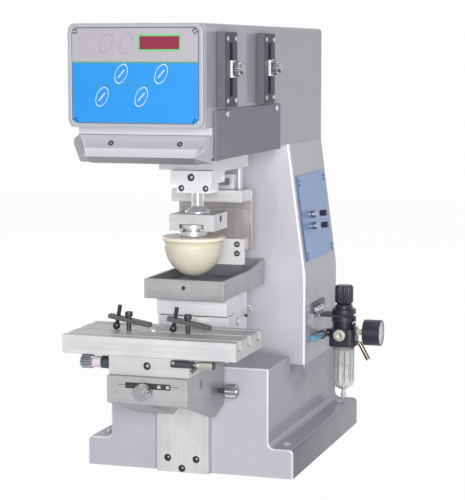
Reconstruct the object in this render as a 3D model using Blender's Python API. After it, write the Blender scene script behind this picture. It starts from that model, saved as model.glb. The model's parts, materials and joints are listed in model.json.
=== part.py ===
"""Bench pad printing machine with a pneumatic carriage, a silicone pad and an adjustable work table.

Lengths are in metres, +Z is up, +X is to the operator's right and -Y faces the operator.
The origin is the middle of the base's underside.
"""
import math

import bmesh
import bpy
from mathutils import Matrix, Vector

# General clearances
GAP = 0.0003
CUT = 0.004

# Base casting
BASE_WIDTH = 0.290
BASE_DEPTH = 0.360
FLANGE_HEIGHT = 0.039
FLANGE_EDGE_RADIUS = 0.006
FOOT_FILLET = 0.008
FLANGE_LEDGE = 0.034
BLOCK_WIDTH = BASE_WIDTH - 2 * FLANGE_LEDGE
BLOCK_HEIGHT = 0.1455
BLOCK_DEPTH = 0.105
CHANNEL_WIDTH = 0.080
CHANNEL_FILLET = 0.012
CHANNEL_EDGE = 0.006
CHANNEL_BEND_SHARE = 0.29
SEAT_HEIGHT = 0.118
BASE_WALL = 0.014
BASE_FRONT = -BASE_DEPTH / 2
BASE_REAR = BASE_DEPTH / 2
BLOCK_REAR = BASE_FRONT + BLOCK_DEPTH

# Column casting
COLUMN_FRONT = BLOCK_REAR + CHANNEL_WIDTH
REAR_COVER_THICKNESS = 0.003
COLUMN_REAR = BASE_REAR - REAR_COVER_THICKNESS - GAP
COLUMN_TOP = 0.431
COLUMN_WALL = 0.010
COLUMN_EDGE_RADIUS = 0.004
NECK_LEFT = 0.062
FLARE_RISE = 0.127
FLARE_LOW = SEAT_HEIGHT + FLARE_RISE
FLARE_RADIUS = 0.060
LEFT_FLARE_TOP_RISE = 0.117
LEFT_FLARE_TOP = SEAT_HEIGHT + LEFT_FLARE_TOP_RISE
LEFT_FLARE_LOW_RISE = 0.047
LEFT_FLARE_LOW = SEAT_HEIGHT + LEFT_FLARE_LOW_RISE
LEFT_FLARE_RADIUS = 0.030

# Head housing
HEAD_WIDTH = 0.173
HEAD_HEIGHT = 0.1627
HEAD_BOTTOM = COLUMN_TOP + GAP
HEAD_TOP = HEAD_BOTTOM + HEAD_HEIGHT
HEAD_WALL = 0.0045
HEAD_EDGE_RADIUS = 0.005
NOSE_REACH = 0.156
NOSE_FRONT = BASE_FRONT - NOSE_REACH
PANEL_REACH = 0.038
PANEL_FRONT = NOSE_FRONT - PANEL_REACH
PANEL_HEIGHT = 0.125
PANEL_BOTTOM = HEAD_TOP - PANEL_HEIGHT
BEZEL_THICKNESS = 0.008
HOUSING_FRONT = PANEL_FRONT + BEZEL_THICKNESS + GAP
BULKHEAD_THICKNESS = 0.012
FRONT_BULKHEAD = NOSE_FRONT + HEAD_WALL
REAR_BULKHEAD_SETBACK = 0.015
REAR_BULKHEAD = COLUMN_FRONT + REAR_BULKHEAD_SETBACK

# Control panel
BEZEL_CORNER = 0.009
BEZEL_RIM = 0.005
OVERLAY_CORNER = 0.006
RECESS_DEPTH = 0.0018

# Front guard
GUARD_TOP = PANEL_BOTTOM - GAP
GUARD_STRIP_HEIGHT = 0.010
GUARD_FACE_HEIGHT = 0.016
GUARD_LIP_DROP = 0.010
GUARD_FOOT_DROP = 0.009
GUARD_STRIP_BOTTOM = PANEL_BOTTOM - GUARD_STRIP_HEIGHT
GUARD_FACE_BOTTOM = GUARD_STRIP_BOTTOM - GUARD_FACE_HEIGHT
GUARD_LIP = GUARD_FACE_BOTTOM - GUARD_LIP_DROP
GUARD_BOTTOM = GUARD_LIP - GUARD_FOOT_DROP
GUARD_STRIP_REACH = 0.0055
GUARD_FACE_REACH = 0.0040
GUARD_FACE_FOOT_REACH = 0.0135
GUARD_LIP_REACH = 0.0280
GUARD_FOOT_REACH = 0.0100
GUARD_DEPTH = 0.018
GUARD_STRIP_FRONT = NOSE_FRONT - GUARD_STRIP_REACH
GUARD_FACE_FRONT = NOSE_FRONT - GUARD_FACE_REACH
GUARD_FACE_FOOT_FRONT = NOSE_FRONT - GUARD_FACE_FOOT_REACH
GUARD_LIP_FRONT = NOSE_FRONT - GUARD_LIP_REACH
GUARD_FOOT_FRONT = NOSE_FRONT - GUARD_FOOT_REACH
GUARD_REAR = NOSE_FRONT + GUARD_DEPTH
GUARD_END_LOW = 0.0695
GUARD_END_MID = 0.0815

# Stroke rails, their pointers and knobs
RAIL_THICKNESS = 0.012
RAIL_WIDTH = 0.049
RAIL_HEIGHT = 0.0913
RAIL_DROP = 0.0102
RAIL_TOP = HEAD_TOP - RAIL_DROP
RAIL_BOTTOM = RAIL_TOP - RAIL_HEIGHT
RAIL_INSET = 0.0355
RAIL_PITCH = 0.1655
RAIL_FRONT_CENTRE = NOSE_FRONT + RAIL_INSET
RAIL_REAR_CENTRE = RAIL_FRONT_CENTRE + RAIL_PITCH
RAIL_SLOT_WIDTH = 0.012
RAIL_SLOT_MARGIN = 0.013
STOP_RISE = 0.0465
STOP_HEIGHT = RAIL_BOTTOM + STOP_RISE
STOP_STUD_SIZE = 0.008
STOP_PLATE_WIDTH = 0.016
STOP_PLATE_HEIGHT = 0.021
STOP_PLATE_THICKNESS = 0.0032
STOP_KNOB_SIZE = 0.0185
STOP_KNOB_LENGTH = 0.0125
KNURL_DEPTH_SHARE = 0.08

# Side cover
COVER_THICKNESS = 0.0032
COVER_LENGTH = 0.281
COVER_HEIGHT = 0.0615
COVER_INSET = 0.002
COVER_TO_RAIL = 0.0025
COVER_FRONT = NOSE_FRONT + COVER_INSET
COVER_REAR = COVER_FRONT + COVER_LENGTH
COVER_TOP = RAIL_BOTTOM - COVER_TO_RAIL
COVER_BOTTOM = COVER_TOP - COVER_HEIGHT

# Guide rods and carriage cylinder
ROD_SIZE = 0.016
ROD_SPREAD = 0.052
ROD_RISE = 0.0887
ROD_HEIGHT = HEAD_BOTTOM + ROD_RISE
ROD_TIP_INSET = 0.002
CYLINDER_SIZE = 0.040
CYLINDER_BORE = 0.032
CYLINDER_NOSE = 0.048
CYLINDER_FRONT = REAR_BULKHEAD - CYLINDER_NOSE
CYLINDER_TO_COVER = 0.0267
CYLINDER_REAR = COLUMN_REAR - CYLINDER_TO_COVER
CYLINDER_END = 0.008
PISTON_ROD_SIZE = 0.012
PISTON_THICKNESS = 0.012
PISTON_SETBACK = 0.015
PISTON_REAR = CYLINDER_REAR - PISTON_SETBACK

# Carriage
PLATE_WIDTH = 0.094
PLATE_DEPTH = 0.100
PLATE_INSET = 0.174
PLATE_FRONT = NOSE_FRONT + PLATE_INSET
PLATE_REAR = PLATE_FRONT + PLATE_DEPTH
PLATE_DROP = 0.0273
PLATE_BOTTOM = HEAD_BOTTOM - PLATE_DROP
PLATE_THICKNESS = 0.013
LEG_THICKNESS = 0.010
BEARING_WIDTH = 0.136
BEARING_HEIGHT = 0.040
BEARING_BOTTOM = ROD_HEIGHT - BEARING_HEIGHT / 2
BEARING_TOP = BEARING_BOTTOM + BEARING_HEIGHT
CARRIAGE_STROKE = 0.120
SLOT_MARGIN = 0.006

# Pad ram
RAM_INSET = 0.022
RAM_Y = PLATE_FRONT + RAM_INSET
RAM_CYLINDER_SIZE = 0.036
RAM_CYLINDER_BORE = 0.028
RAM_CYLINDER_TO_ROOF = 0.019
RAM_CYLINDER_TOP = HEAD_TOP - RAM_CYLINDER_TO_ROOF
RAM_CYLINDER_END = 0.006
PAD_ROD_SIZE = 0.016
PAD_ROD_PISTON_DROP = 0.030
PAD_ROD_PISTON_LOW = RAM_CYLINDER_TOP - PAD_ROD_PISTON_DROP
PAD_ROD_PISTON_HEIGHT = 0.010
RAM_BLOCK_WIDTH = 0.058
RAM_BLOCK_DEPTH = 0.056
RAM_BLOCK_HEIGHT = 0.018
RAM_BLOCK_FRONT = RAM_Y - RAM_BLOCK_DEPTH / 2
RAM_BLOCK_REAR = RAM_Y + RAM_BLOCK_DEPTH / 2
RAM_BLOCK_BOTTOM = PLATE_BOTTOM - GAP - RAM_BLOCK_HEIGHT
GLAND_WIDTH = 0.0465
GLAND_DEPTH = 0.036
GLAND_HEIGHT = 0.0121
GLAND_FRONT = RAM_Y - GLAND_DEPTH / 2
GLAND_REAR = RAM_Y + GLAND_DEPTH / 2
GLAND_BOTTOM = RAM_BLOCK_BOTTOM - GAP - GLAND_HEIGHT
GLAND_SCREW_X = 0.017
COLLAR_DROP = 0.0278
COLLAR_BOTTOM = GLAND_BOTTOM - COLLAR_DROP
COLLAR_SIZE = 0.034
COLLAR_RIM = 0.0025
COLLAR_HEIGHT = 0.0075

# Socket screws: head across, head height, shank across, shank length
M6_SIZES = (0.0098, 0.0055, 0.006, 0.006)
M5_SIZES = (0.0082, 0.0045, 0.005, 0.005)
SOCKET_SHARE = 0.55
SOCKET_DEPTH_SHARE = 0.55
SCREW_SINK = 0.0008

# Pad holder, pad base and pad
HOLDER_WIDTH = 0.062
HOLDER_DEPTH = 0.060
HOLDER_HEIGHT = 0.022
HOLDER_SETBACK = 0.027
HOLDER_FRONT = RAM_Y - HOLDER_SETBACK
HOLDER_REAR = HOLDER_FRONT + HOLDER_DEPTH
HOLDER_TOP = COLLAR_BOTTOM - GAP
HOLDER_BOTTOM = HOLDER_TOP - HOLDER_HEIGHT
HOLDER_SLOT_THROAT = 0.024
HOLDER_SLOT_WIDTH = 0.034
HOLDER_LIP = 0.0030
HOLDER_SLOT_HEIGHT = 0.0088
HOLDER_SLOT_TOP = HOLDER_BOTTOM + HOLDER_SLOT_HEIGHT
HOLDER_SCREW_INSET = 0.032
HOLDER_SCREW_RISE = 0.0148
HOLDER_SCREW_Y = HOLDER_FRONT + HOLDER_SCREW_INSET
HOLDER_SCREW_Z = HOLDER_BOTTOM + HOLDER_SCREW_RISE
PAD_SETBACK = 0.0177
PAD_Y = RAM_Y - PAD_SETBACK
PAD_BASE_SIZE = 0.038
PAD_BASE_THICKNESS = 0.0064
PAD_SIZE = 0.085
PAD_NECK_SIZE = 0.0746
PAD_TOP_EDGE = 0.0030
PAD_RIM_DROP = 0.0027
PAD_RIM_HEIGHT = 0.005
PAD_RIM_UNDERCUT = 0.004
PAD_BOWL_HEIGHT = 0.0418
PAD_TOP = HOLDER_BOTTOM - GAP - PAD_BASE_THICKNESS - GAP
PAD_RIM_HIGH = PAD_TOP - PAD_RIM_DROP
PAD_RIM_LOW = PAD_RIM_HIGH - PAD_RIM_HEIGHT
PAD_BOWL_TOP = PAD_RIM_LOW - PAD_RIM_UNDERCUT
PAD_TIP = PAD_BOWL_TOP - PAD_BOWL_HEIGHT

# Blade gear
BAR_WIDTH = 0.100
BAR_DEPTH = 0.040
BAR_HEIGHT = 0.0166
BAR_SETBACK = 0.003
BAR_DROP = 0.0304
BAR_REAR = PLATE_REAR - BAR_SETBACK
BAR_FRONT = BAR_REAR - BAR_DEPTH
BAR_TOP = PLATE_BOTTOM - BAR_DROP
BAR_BOTTOM = BAR_TOP - BAR_HEIGHT
POST_OUTER = 0.043
POST_THICKNESS = 0.0035
POST_DEPTH = 0.012
POST_INSET = 0.017
POST_FRONT = BAR_FRONT + POST_INSET
POST_REAR = POST_FRONT + POST_DEPTH
CLEVIS_LEFT = 0.012
CLEVIS_RIGHT = 0.034
CLEVIS_HEIGHT = 0.021
CLEVIS_WALL = 0.006
ARM_WIDTH = 0.106
ARM_THICKNESS = 0.008
ARM_HEIGHT = 0.0832
ARM_DROP = 0.0024
ARM_TOP = BAR_TOP - ARM_DROP
ARM_BOTTOM = ARM_TOP - ARM_HEIGHT
ARM_FRAME = 0.0040
ARM_FRAME_DROP = 0.0252
ARM_FRAME_TOP = ARM_TOP - ARM_FRAME_DROP
ARM_RECESS = 0.0022
BLADE_HOLDER_WIDTH = 0.086
BLADE_HOLDER_THICKNESS = 0.0095
BLADE_HOLDER_HEIGHT = 0.036
BLADE_HOLDER_HANG = 0.020
BLADE_HOLDER_BOTTOM = ARM_BOTTOM - BLADE_HOLDER_HANG
BLADE_HOLDER_TOP = BLADE_HOLDER_BOTTOM + BLADE_HOLDER_HEIGHT
BLADE_WIDTH = 0.080
BLADE_THICKNESS = 0.0010
BLADE_LENGTH = 0.0162
BLADE_TIP = BLADE_HOLDER_BOTTOM - GAP - BLADE_LENGTH
BLADE_LEAN = 0.005
BLADE_TRAVEL = 0.003

# Ink tray and its support
TRAY_WIDTH = 0.1106
TRAY_LENGTH = 0.188
TRAY_TO_COLUMN = 0.016
TRAY_REAR = COLUMN_FRONT - TRAY_TO_COLUMN
TRAY_FRONT = TRAY_REAR - TRAY_LENGTH
TRAY_KINK_DEPTH = 0.114
TRAY_KINK = TRAY_FRONT + TRAY_KINK_DEPTH
TRAY_DROP = 0.1685
TRAY_HEIGHT = 0.0262
TRAY_REAR_HEIGHT = 0.0345
TRAY_BOTTOM = PLATE_BOTTOM - TRAY_DROP
TRAY_RIM = TRAY_BOTTOM + TRAY_HEIGHT
TRAY_REAR_RIM = TRAY_BOTTOM + TRAY_REAR_HEIGHT
TRAY_WALL = 0.004
TRAY_FLOOR = 0.0040
ETCHED_THICKNESS = 0.0082
ETCHED_TOP = TRAY_BOTTOM + TRAY_FLOOR + GAP + ETCHED_THICKNESS
SUPPORT_WIDTH = 0.098
SUPPORT_INSET = 0.012
SUPPORT_FRONT = BASE_FRONT + SUPPORT_INSET
SUPPORT_NOSE_HEIGHT = 0.0252
SUPPORT_NOSE_LOW = TRAY_BOTTOM - GAP - SUPPORT_NOSE_HEIGHT
SUPPORT_NOSE_RADIUS = 0.009
SUPPORT_STEP = 0.006

# Guide plate
GUIDE_WIDTH = 0.0727
GUIDE_CENTRE_X = -0.0036
GUIDE_THICKNESS = 0.0137
GUIDE_BOTTOM = 0.0015
GUIDE_TO_BLOCK_TOP = 0.0025
GUIDE_TOP = BLOCK_HEIGHT - GUIDE_TO_BLOCK_TOP
GUIDE_SCREW_SPREAD = 0.020
GUIDE_SCREW_Z = 0.0205
GUIDE_LOW_SCREW_X = -0.005
GUIDE_LOW_SCREW_Z = 0.0070
GUIDE_FRONT = BASE_FRONT - GAP - GUIDE_THICKNESS

# Knee
KNEE_WIDTH = 0.1066
KNEE_CENTRE_X = -0.0023
KNEE_LEFT = KNEE_CENTRE_X - KNEE_WIDTH / 2
KNEE_RIGHT = KNEE_CENTRE_X + KNEE_WIDTH / 2
SCREW_LINE_X = -0.0045
KNEE_DEPTH = 0.150
KNEE_TO_BASE = 0.003
KNEE_REAR = BASE_FRONT - KNEE_TO_BASE
KNEE_FRONT = KNEE_REAR - KNEE_DEPTH
KNEE_RISE = 0.0105
KNEE_TOP = BLOCK_HEIGHT + KNEE_RISE
KNEE_FACE_HEIGHT = 0.034
KNEE_FACE_BOTTOM = KNEE_TOP - KNEE_FACE_HEIGHT
KNEE_TOE_DEPTH = 0.111
KNEE_TOE_DROP = 0.070
KNEE_HEEL_DROP = 0.060
KNEE_TOE_Y = KNEE_FRONT + KNEE_TOE_DEPTH
KNEE_TOE_Z = KNEE_TOP - KNEE_TOE_DROP
KNEE_HEEL_Z = KNEE_TOP - KNEE_HEEL_DROP
KNEE_TOE_RADIUS = 0.010
KNEE_GROOVE_WIDTH = 0.070
KNEE_GROOVE_DEPTH = 0.0052
KNEE_GROOVE_INSET = 0.010
KNEE_GROOVE_FRONT = KNEE_FRONT + KNEE_GROOVE_INSET
KNEE_POCKET_WIDTH = 0.060
KNEE_POCKET_HEIGHT = 0.007
KNEE_POCKET_DEPTH = 0.008
KNEE_POCKET_INSET = 0.022
KNEE_POCKET_DROP = 0.0075
KNEE_POCKET_RIGHT = KNEE_RIGHT - KNEE_POCKET_INSET
KNEE_POCKET_LEFT = KNEE_POCKET_RIGHT - KNEE_POCKET_WIDTH
KNEE_POCKET_HIGH = KNEE_TOP - KNEE_POCKET_DROP
KNEE_POCKET_LOW = KNEE_POCKET_HIGH - KNEE_POCKET_HEIGHT
KNEE_NOTCH_WIDTH = 0.046
KNEE_NOTCH_INSET = 0.011
KNEE_NOTCH_SETBACK = 0.015
KNEE_NOTCH_DROP = 0.039
KNEE_NOTCH_RIGHT = KNEE_RIGHT - KNEE_NOTCH_INSET
KNEE_NOTCH_LEFT = KNEE_NOTCH_RIGHT - KNEE_NOTCH_WIDTH
KNEE_NOTCH_FRONT = KNEE_FRONT + KNEE_NOTCH_SETBACK
KNEE_NOTCH_TOP = KNEE_TOP - KNEE_NOTCH_DROP

# Cross slide
CROSS_DEPTH = 0.0935
CROSS_HEIGHT = 0.0257
CROSS_SETBACK = 0.0075
CROSS_FRONT = KNEE_FRONT + CROSS_SETBACK
CROSS_REAR = CROSS_FRONT + CROSS_DEPTH
CROSS_TOP = KNEE_TOP + CROSS_HEIGHT
TONGUE_INSET = 0.015
TONGUE_FRONT = CROSS_FRONT + TONGUE_INSET
TONGUE_SETBACK = 0.004
CROSS_SCREW_DROP = 0.0125
CROSS_SCREW_Z = CROSS_TOP - CROSS_SCREW_DROP

# Work table
TABLE_WIDTH = 0.230
TABLE_REACH = 0.0095
TABLE_FRONT = CROSS_FRONT - TABLE_REACH
TABLE_DEPTH = 0.114
TABLE_THICKNESS = 0.0235
TABLE_BOTTOM = CROSS_TOP + GAP
TABLE_TOP = TABLE_BOTTOM + TABLE_THICKNESS
SLOT_INSET = 0.016
SLOT_PITCH = 0.041
SLOT_COUNT = 3
SLOT_CENTRES = tuple(TABLE_FRONT + SLOT_INSET + SLOT_PITCH * index for index in range(SLOT_COUNT))
SLOT_THROAT = 0.008
SLOT_FOOT = 0.0145
SLOT_LIP = 0.0055
SLOT_DEPTH = 0.0120

# Feed knobs and the slide lock
X_KNOB_INSET = 0.0255
X_KNOB_DROP = 0.0152
X_KNOB_Y = CROSS_FRONT + X_KNOB_INSET
X_KNOB_Z = CROSS_TOP - X_KNOB_DROP
X_RING_SIZE = 0.0165
X_RING_LENGTH = 0.0189
X_RING_END = X_RING_LENGTH - KNEE_LEFT
X_COLLAR_SIZE = 0.0150
X_COLLAR_LENGTH = 0.0117
X_COLLAR_END = X_RING_END + X_COLLAR_LENGTH
X_KNOB_SIZE = 0.0185
X_KNOB_LENGTH = 0.0173
X_KNOB_END = X_COLLAR_END + X_KNOB_LENGTH
Y_KNOB_DROP = 0.0165
Y_KNOB_Z = KNEE_TOP - Y_KNOB_DROP
Y_STEM_SIZE = 0.009
Y_STEM_LENGTH = 0.005
Y_KNOB_SIZE = 0.0210
Y_KNOB_LENGTH = 0.013
Z_KNOB_INSET = 0.025
Z_KNOB_DROP = 0.037
Z_KNOB_Y = KNEE_REAR - Z_KNOB_INSET
Z_KNOB_Z = KNEE_TOP - Z_KNOB_DROP
Z_STEM_SIZE = 0.006
Z_STEM_LENGTH = 0.010
Z_KNOB_SIZE = 0.0190
Z_KNOB_LENGTH = 0.0175
KNOB_EDGE = 0.0015
LOCK_DROP = 0.0067
LOCK_Z = CROSS_TOP - LOCK_DROP
LOCK_INSET = 0.021
LOCK_BODY_LENGTH = 0.030
LOCK_NECK_LENGTH = 0.0066
LOCK_SLEEVE_LENGTH = 0.0204
LOCK_LEFT = KNEE_RIGHT - LOCK_INSET
LOCK_BODY_END = LOCK_LEFT + LOCK_BODY_LENGTH
LOCK_NECK_END = LOCK_BODY_END + LOCK_NECK_LENGTH
LOCK_END = LOCK_NECK_END + LOCK_SLEEVE_LENGTH
LOCK_BODY_SIZE = 0.0090
LOCK_NECK_SIZE = 0.0060
LOCK_SLEEVE_SIZE = 0.0100
LOCK_HANDLE_SETBACK = 0.0016
LOCK_HANDLE_X = LOCK_NECK_END - LOCK_HANDLE_SETBACK
LOCK_HANDLE_AIM = (-0.62, -0.35, -0.70)
LOCK_HANDLE_SIZE = 0.0046
LOCK_HANDLE_LENGTH = 0.0125

# Work clamps, left and right
CLAMP_BOLTS_X = (-0.0465, 0.0335)
CLAMP_BAR_LENGTH = 0.0575
CLAMP_BAR_WIDTH = 0.0105
CLAMP_BAR_THICKNESS = 0.0055
CLAMP_BAR_HEEL_SHARE = 0.473
CLAMP_BAR_TILT = 10.0
CLAMP_BAR_RAISE = 0.0130
CLAMP_HOLE_SIZE = 0.0084
CLAMP_JACK_OFFSETS = (0.0150, 0.0178)
CLAMP_HOLE_LENGTH = 0.0335
CLAMP_JACK_HOLE = 0.0061
CLAMP_BOLT_HEAD = 0.0100
CLAMP_BOLT_HEAD_HEIGHT = 0.0062
CLAMP_BOLT_SHANK = 0.0060
CLAMP_NUT_SIZE = 0.0130
CLAMP_HEAD_LIFT = 0.0046

# Valve plate and throttles on the flared side
VALVE_PLATE_INSET = 0.0115
VALVE_PLATE_LENGTH = 0.147
VALVE_PLATE_RISE = 0.019
VALVE_PLATE_DROP = 0.046
VALVE_PLATE_FRONT = COLUMN_FRONT + VALVE_PLATE_INSET
VALVE_PLATE_REAR = VALVE_PLATE_FRONT + VALVE_PLATE_LENGTH
VALVE_PLATE_LOW = FLARE_LOW + VALVE_PLATE_RISE
VALVE_PLATE_HIGH = COLUMN_TOP - VALVE_PLATE_DROP
VALVE_PLATE_THICKNESS = 0.0020
THROTTLE_INSET = 0.0555
THROTTLE_PITCH = 0.017
THROTTLE_OFFSET = 0.0025
THROTTLE_Y = VALVE_PLATE_FRONT + THROTTLE_INSET
THROTTLE_HIGH = (VALVE_PLATE_LOW + VALVE_PLATE_HIGH) / 2 + THROTTLE_OFFSET
THROTTLE_HEIGHTS = (THROTTLE_HIGH, THROTTLE_HIGH - THROTTLE_PITCH)
THROTTLE_SIZE = 0.011
THROTTLE_LENGTH = 0.011
THROTTLE_KNOB_SIZE = 0.0085
THROTTLE_KNOB_LENGTH = 0.010

# Filter regulator
REG_STANDOFF = 0.0365
REG_SETBACK = 0.080
REG_X = BLOCK_WIDTH / 2 + REG_STANDOFF
REG_Y = COLUMN_FRONT + REG_SETBACK
REG_WIDTH = 0.038
REG_CORNER = 0.008
REG_RISE = 0.0175
REG_HEIGHT = 0.0255
REG_BOTTOM = SEAT_HEIGHT + REG_RISE
REG_TOP = REG_BOTTOM + REG_HEIGHT
REG_WAIST_SIZE = 0.0270
REG_RING_SIZE = 0.0355
REG_WAIST_HEIGHT = 0.010
REG_RING_HEIGHT = 0.0077
REG_RING_LOW = REG_TOP + REG_WAIST_HEIGHT
REG_RING_TOP = REG_RING_LOW + REG_RING_HEIGHT
REG_NECK_SIZE = 0.0200
REG_COLLAR_SIZE = 0.0345
REG_COLLAR_HEIGHT = 0.0108
REG_COLLAR_TOP = REG_RING_TOP + REG_COLLAR_HEIGHT
REG_SHOULDER_SIZE = 0.0250
REG_SHOULDER_HEIGHT = 0.0055
REG_SHOULDER_TOP = REG_COLLAR_TOP + REG_SHOULDER_HEIGHT
REG_NECK_HEIGHT = 0.002
REG_NECK_TOP = REG_SHOULDER_TOP + REG_NECK_HEIGHT
REG_PLUG_SIZE = 0.0160
REG_PLUG_LENGTH = 0.0030
REG_PLUG_RISE = 0.0173
REG_PLUG_Z = REG_BOTTOM + REG_PLUG_RISE
REG_KNOB_SIZE = 0.0262
REG_KNOB_HEIGHT = 0.0267
REG_KNOB_TOP = REG_NECK_TOP + GAP + REG_KNOB_HEIGHT
REG_KNOB_EDGE = 0.0025
BOWL_SIZE = 0.0304
BOWL_WALL = 0.0022
BOWL_HEIGHT = 0.0647
BOWL_BOTTOM = REG_BOTTOM - GAP - BOWL_HEIGHT
BOWL_ROUND = 0.0130
DRAIN_SIZE = 0.0080
DRAIN_HANG = 0.0125
DRAIN_BOTTOM = BOWL_BOTTOM - DRAIN_HANG
BRACKET_THICKNESS = 0.0030
BRACKET_REACH = 0.049
BRACKET_SHELF_DEPTH = 0.035
BRACKET_LEG_RISE = 0.0228
BRACKET_FRONT = REG_Y - BRACKET_REACH
BRACKET_REAR = REG_Y + BRACKET_SHELF_DEPTH / 2
BRACKET_LEG_TOP = REG_RING_TOP + BRACKET_LEG_RISE
BRACKET_SHELF_FRONT = REG_Y - BRACKET_SHELF_DEPTH / 2
BRACKET_SHELF_END = 0.0125
BRACKET_CORNER_ALONG = 0.009
BRACKET_CORNER_ACROSS = 0.010
BRACKET_HOLE_CLEARANCE = 0.0008

# Pressure gauge
GAUGE_RISE = 0.0207
GAUGE_Z = REG_BOTTOM + GAUGE_RISE
GAUGE_NIPPLE_SIZE = 0.0100
GAUGE_NIPPLE_LENGTH = 0.0110
GAUGE_SIZE = 0.0375
GAUGE_LENGTH = 0.0255
GAUGE_RIM = 0.0022
GAUGE_DISH = 0.0045
NEEDLE_LENGTH = 0.0125
NEEDLE_WIDTH = 0.0014
NEEDLE_THICKNESS = 0.0008
NEEDLE_HUB_SIZE = 0.0040
NEEDLE_REST_ANGLE = 135.0

# Air elbow and hose barb
ELBOW_SIZE = 0.0130
ELBOW_STANDOFF = 0.008
ELBOW_X = BLOCK_WIDTH / 2 + ELBOW_STANDOFF
ELBOW_LENGTH = 0.0210
PORT_RISE = 0.0175
PORT_Z = REG_BOTTOM + PORT_RISE
BARB_PORT_SIZE = 0.0076
BARB_PORT_RISE = 0.0042
BARB_PORT_Z = REG_BOTTOM + BARB_PORT_RISE
BARB_SIZE = 0.0070
BARB_REACH = 0.0045
BARB_ACROSS = 0.0130
BARB_DROP = 0.0235

# Valve bank inside the column
BANK_WIDTH = 0.090
BANK_BASE_HEIGHT = 0.022
BANK_COIL_HEIGHT = 0.038
BANK_COIL_WIDTH = 0.022
BANK_DEPTH = 0.050
BANK_DROP = 0.131
BANK_BOTTOM = COLUMN_TOP - BANK_DROP
BANK_COILS = 3

# Flange bolts
FLANGE_BOLT_X = (BASE_WIDTH - FLANGE_LEDGE) / 2
FLANGE_HOLE_SIZE = 0.0086
FLANGE_FRONT_BOLT_INSET = 0.030
FLANGE_REAR_BOLT_INSET = 0.040
FLANGE_BOLT_YS = (BASE_FRONT + FLANGE_FRONT_BOLT_INSET, BASE_REAR - FLANGE_REAR_BOLT_INSET)

# Turning steps
FINE_SIDES = 32
ROUND_SIDES = 16
SCREW_SIDES = 10
ARC_STEPS = 4


def clear_scene():
    for obj in list(bpy.data.objects):
        bpy.data.objects.remove(obj, do_unlink=True)


def make_material(name, colour, roughness, metallic):
    material = bpy.data.materials.new(name)
    material.use_nodes = True
    shader = material.node_tree.nodes["Principled BSDF"]
    shader.inputs["Base Color"].default_value = (*colour, 1.0)
    shader.inputs["Roughness"].default_value = roughness
    shader.inputs["Metallic"].default_value = metallic
    return material


def rounded_outline(corners, steps=ARC_STEPS):
    """Closed outline from corners (a, b, radius); a corner with a radius becomes an arc."""
    outline = []
    for index, (a, b, radius) in enumerate(corners):
        here = Vector((a, b))
        if radius == 0:
            outline.append(here)
            continue
        before = (Vector(corners[index - 1][:2]) - here).normalized()
        after = (Vector(corners[(index + 1) % len(corners)][:2]) - here).normalized()
        half = before.angle(after) / 2
        centre = here + (before + after).normalized() * radius / math.sin(half)
        start = here + before * radius / math.tan(half) - centre
        end = here + after * radius / math.tan(half) - centre
        first = math.atan2(start.y, start.x)
        sweep = math.atan2(end.y, end.x) - first
        sweep = (sweep + math.pi) % math.tau - math.pi
        for step in range(steps + 1):
            angle = first + sweep * step / steps
            outline.append(centre + radius * Vector((math.cos(angle), math.sin(angle))))
    return outline


def plain(points):
    """Corners without radius."""
    return [(a, b, 0) for a, b in points]


def rectangle(a_low, a_high, b_low, b_high, radius=0):
    return [(a_low, b_low, radius), (a_high, b_low, radius), (a_high, b_high, radius), (a_low, b_high, radius)]


def knurled_outline(radius, teeth, depth):
    """Round outline with grooves along it."""
    outline = []
    for tooth in range(teeth):
        for step, reach in ((0, radius), (1, radius), (2, radius - depth)):
            angle = math.tau * (tooth + step / 3) / teeth
            outline.append(Vector((reach * math.cos(angle), reach * math.sin(angle))))
    return outline


def prism(bm, outline, axis, low, high):
    """Extrude an outline along X, Y or Z; its pairs are the two other axes in order."""
    place = {
        "X": lambda a, b, along: Vector((along, a, b)),
        "Y": lambda a, b, along: Vector((a, along, b)),
        "Z": lambda a, b, along: Vector((a, b, along)),
    }[axis]
    face = bm.faces.new([bm.verts.new(place(a, b, low)) for a, b in outline])
    grown = bmesh.ops.extrude_face_region(bm, geom=[face])["geom"]
    verts = [item for item in grown if isinstance(item, bmesh.types.BMVert)]
    bmesh.ops.translate(bm, vec=place(0, 0, high - low), verts=verts)
    return list(face.verts) + verts


def box(bm, x_low, x_high, y_low, y_high, z_low, z_high):
    middle = Vector((x_low + x_high, y_low + y_high, z_low + z_high)) / 2
    size = Vector((x_high - x_low, y_high - y_low, z_high - z_low))
    matrix = Matrix.Translation(middle) @ Matrix.Diagonal(size).to_4x4()
    return bmesh.ops.create_cube(bm, size=1, matrix=matrix)["verts"]


def turned(bm, profile, base, direction, sides=ROUND_SIDES):
    """Turn a profile of (radius, along) about an axis through base."""
    verts = [bm.verts.new((radius, 0, along)) for radius, along in profile]
    edges = [bm.edges.new(pair) for pair in zip(verts, verts[1:])]
    if profile[0][0] > 0 and profile[-1][0] > 0:
        edges.append(bm.edges.new((verts[-1], verts[0])))
    before = set(bm.verts) - set(verts)
    bmesh.ops.spin(bm, geom=verts + edges, cent=(0, 0, 0), axis=(0, 0, 1), dvec=(0, 0, 0),
                   angle=math.tau, steps=sides, use_merge=True, use_duplicate=False)
    made = [vert for vert in bm.verts if vert not in before]
    bmesh.ops.remove_doubles(bm, verts=made, dist=GAP / 10)
    made = [vert for vert in bm.verts if vert not in before]
    turn = Vector(direction).to_track_quat("Z", "Y").to_matrix().to_4x4()
    bmesh.ops.transform(bm, matrix=Matrix.Translation(base) @ turn, verts=made)
    return made


def round_bar(bm, base, direction, size, length, sides=ROUND_SIDES, edge=0):
    """Plain cylinder, with an optional chamfer at both ends."""
    radius = size / 2
    profile = [(0, 0), (radius - edge, 0), (radius, edge), (radius, length - edge), (radius - edge, length)]
    if edge == 0:
        profile = [(0, 0), (radius, 0), (radius, length)]
    return turned(bm, profile + [(0, length)], base, direction, sides)


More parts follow.
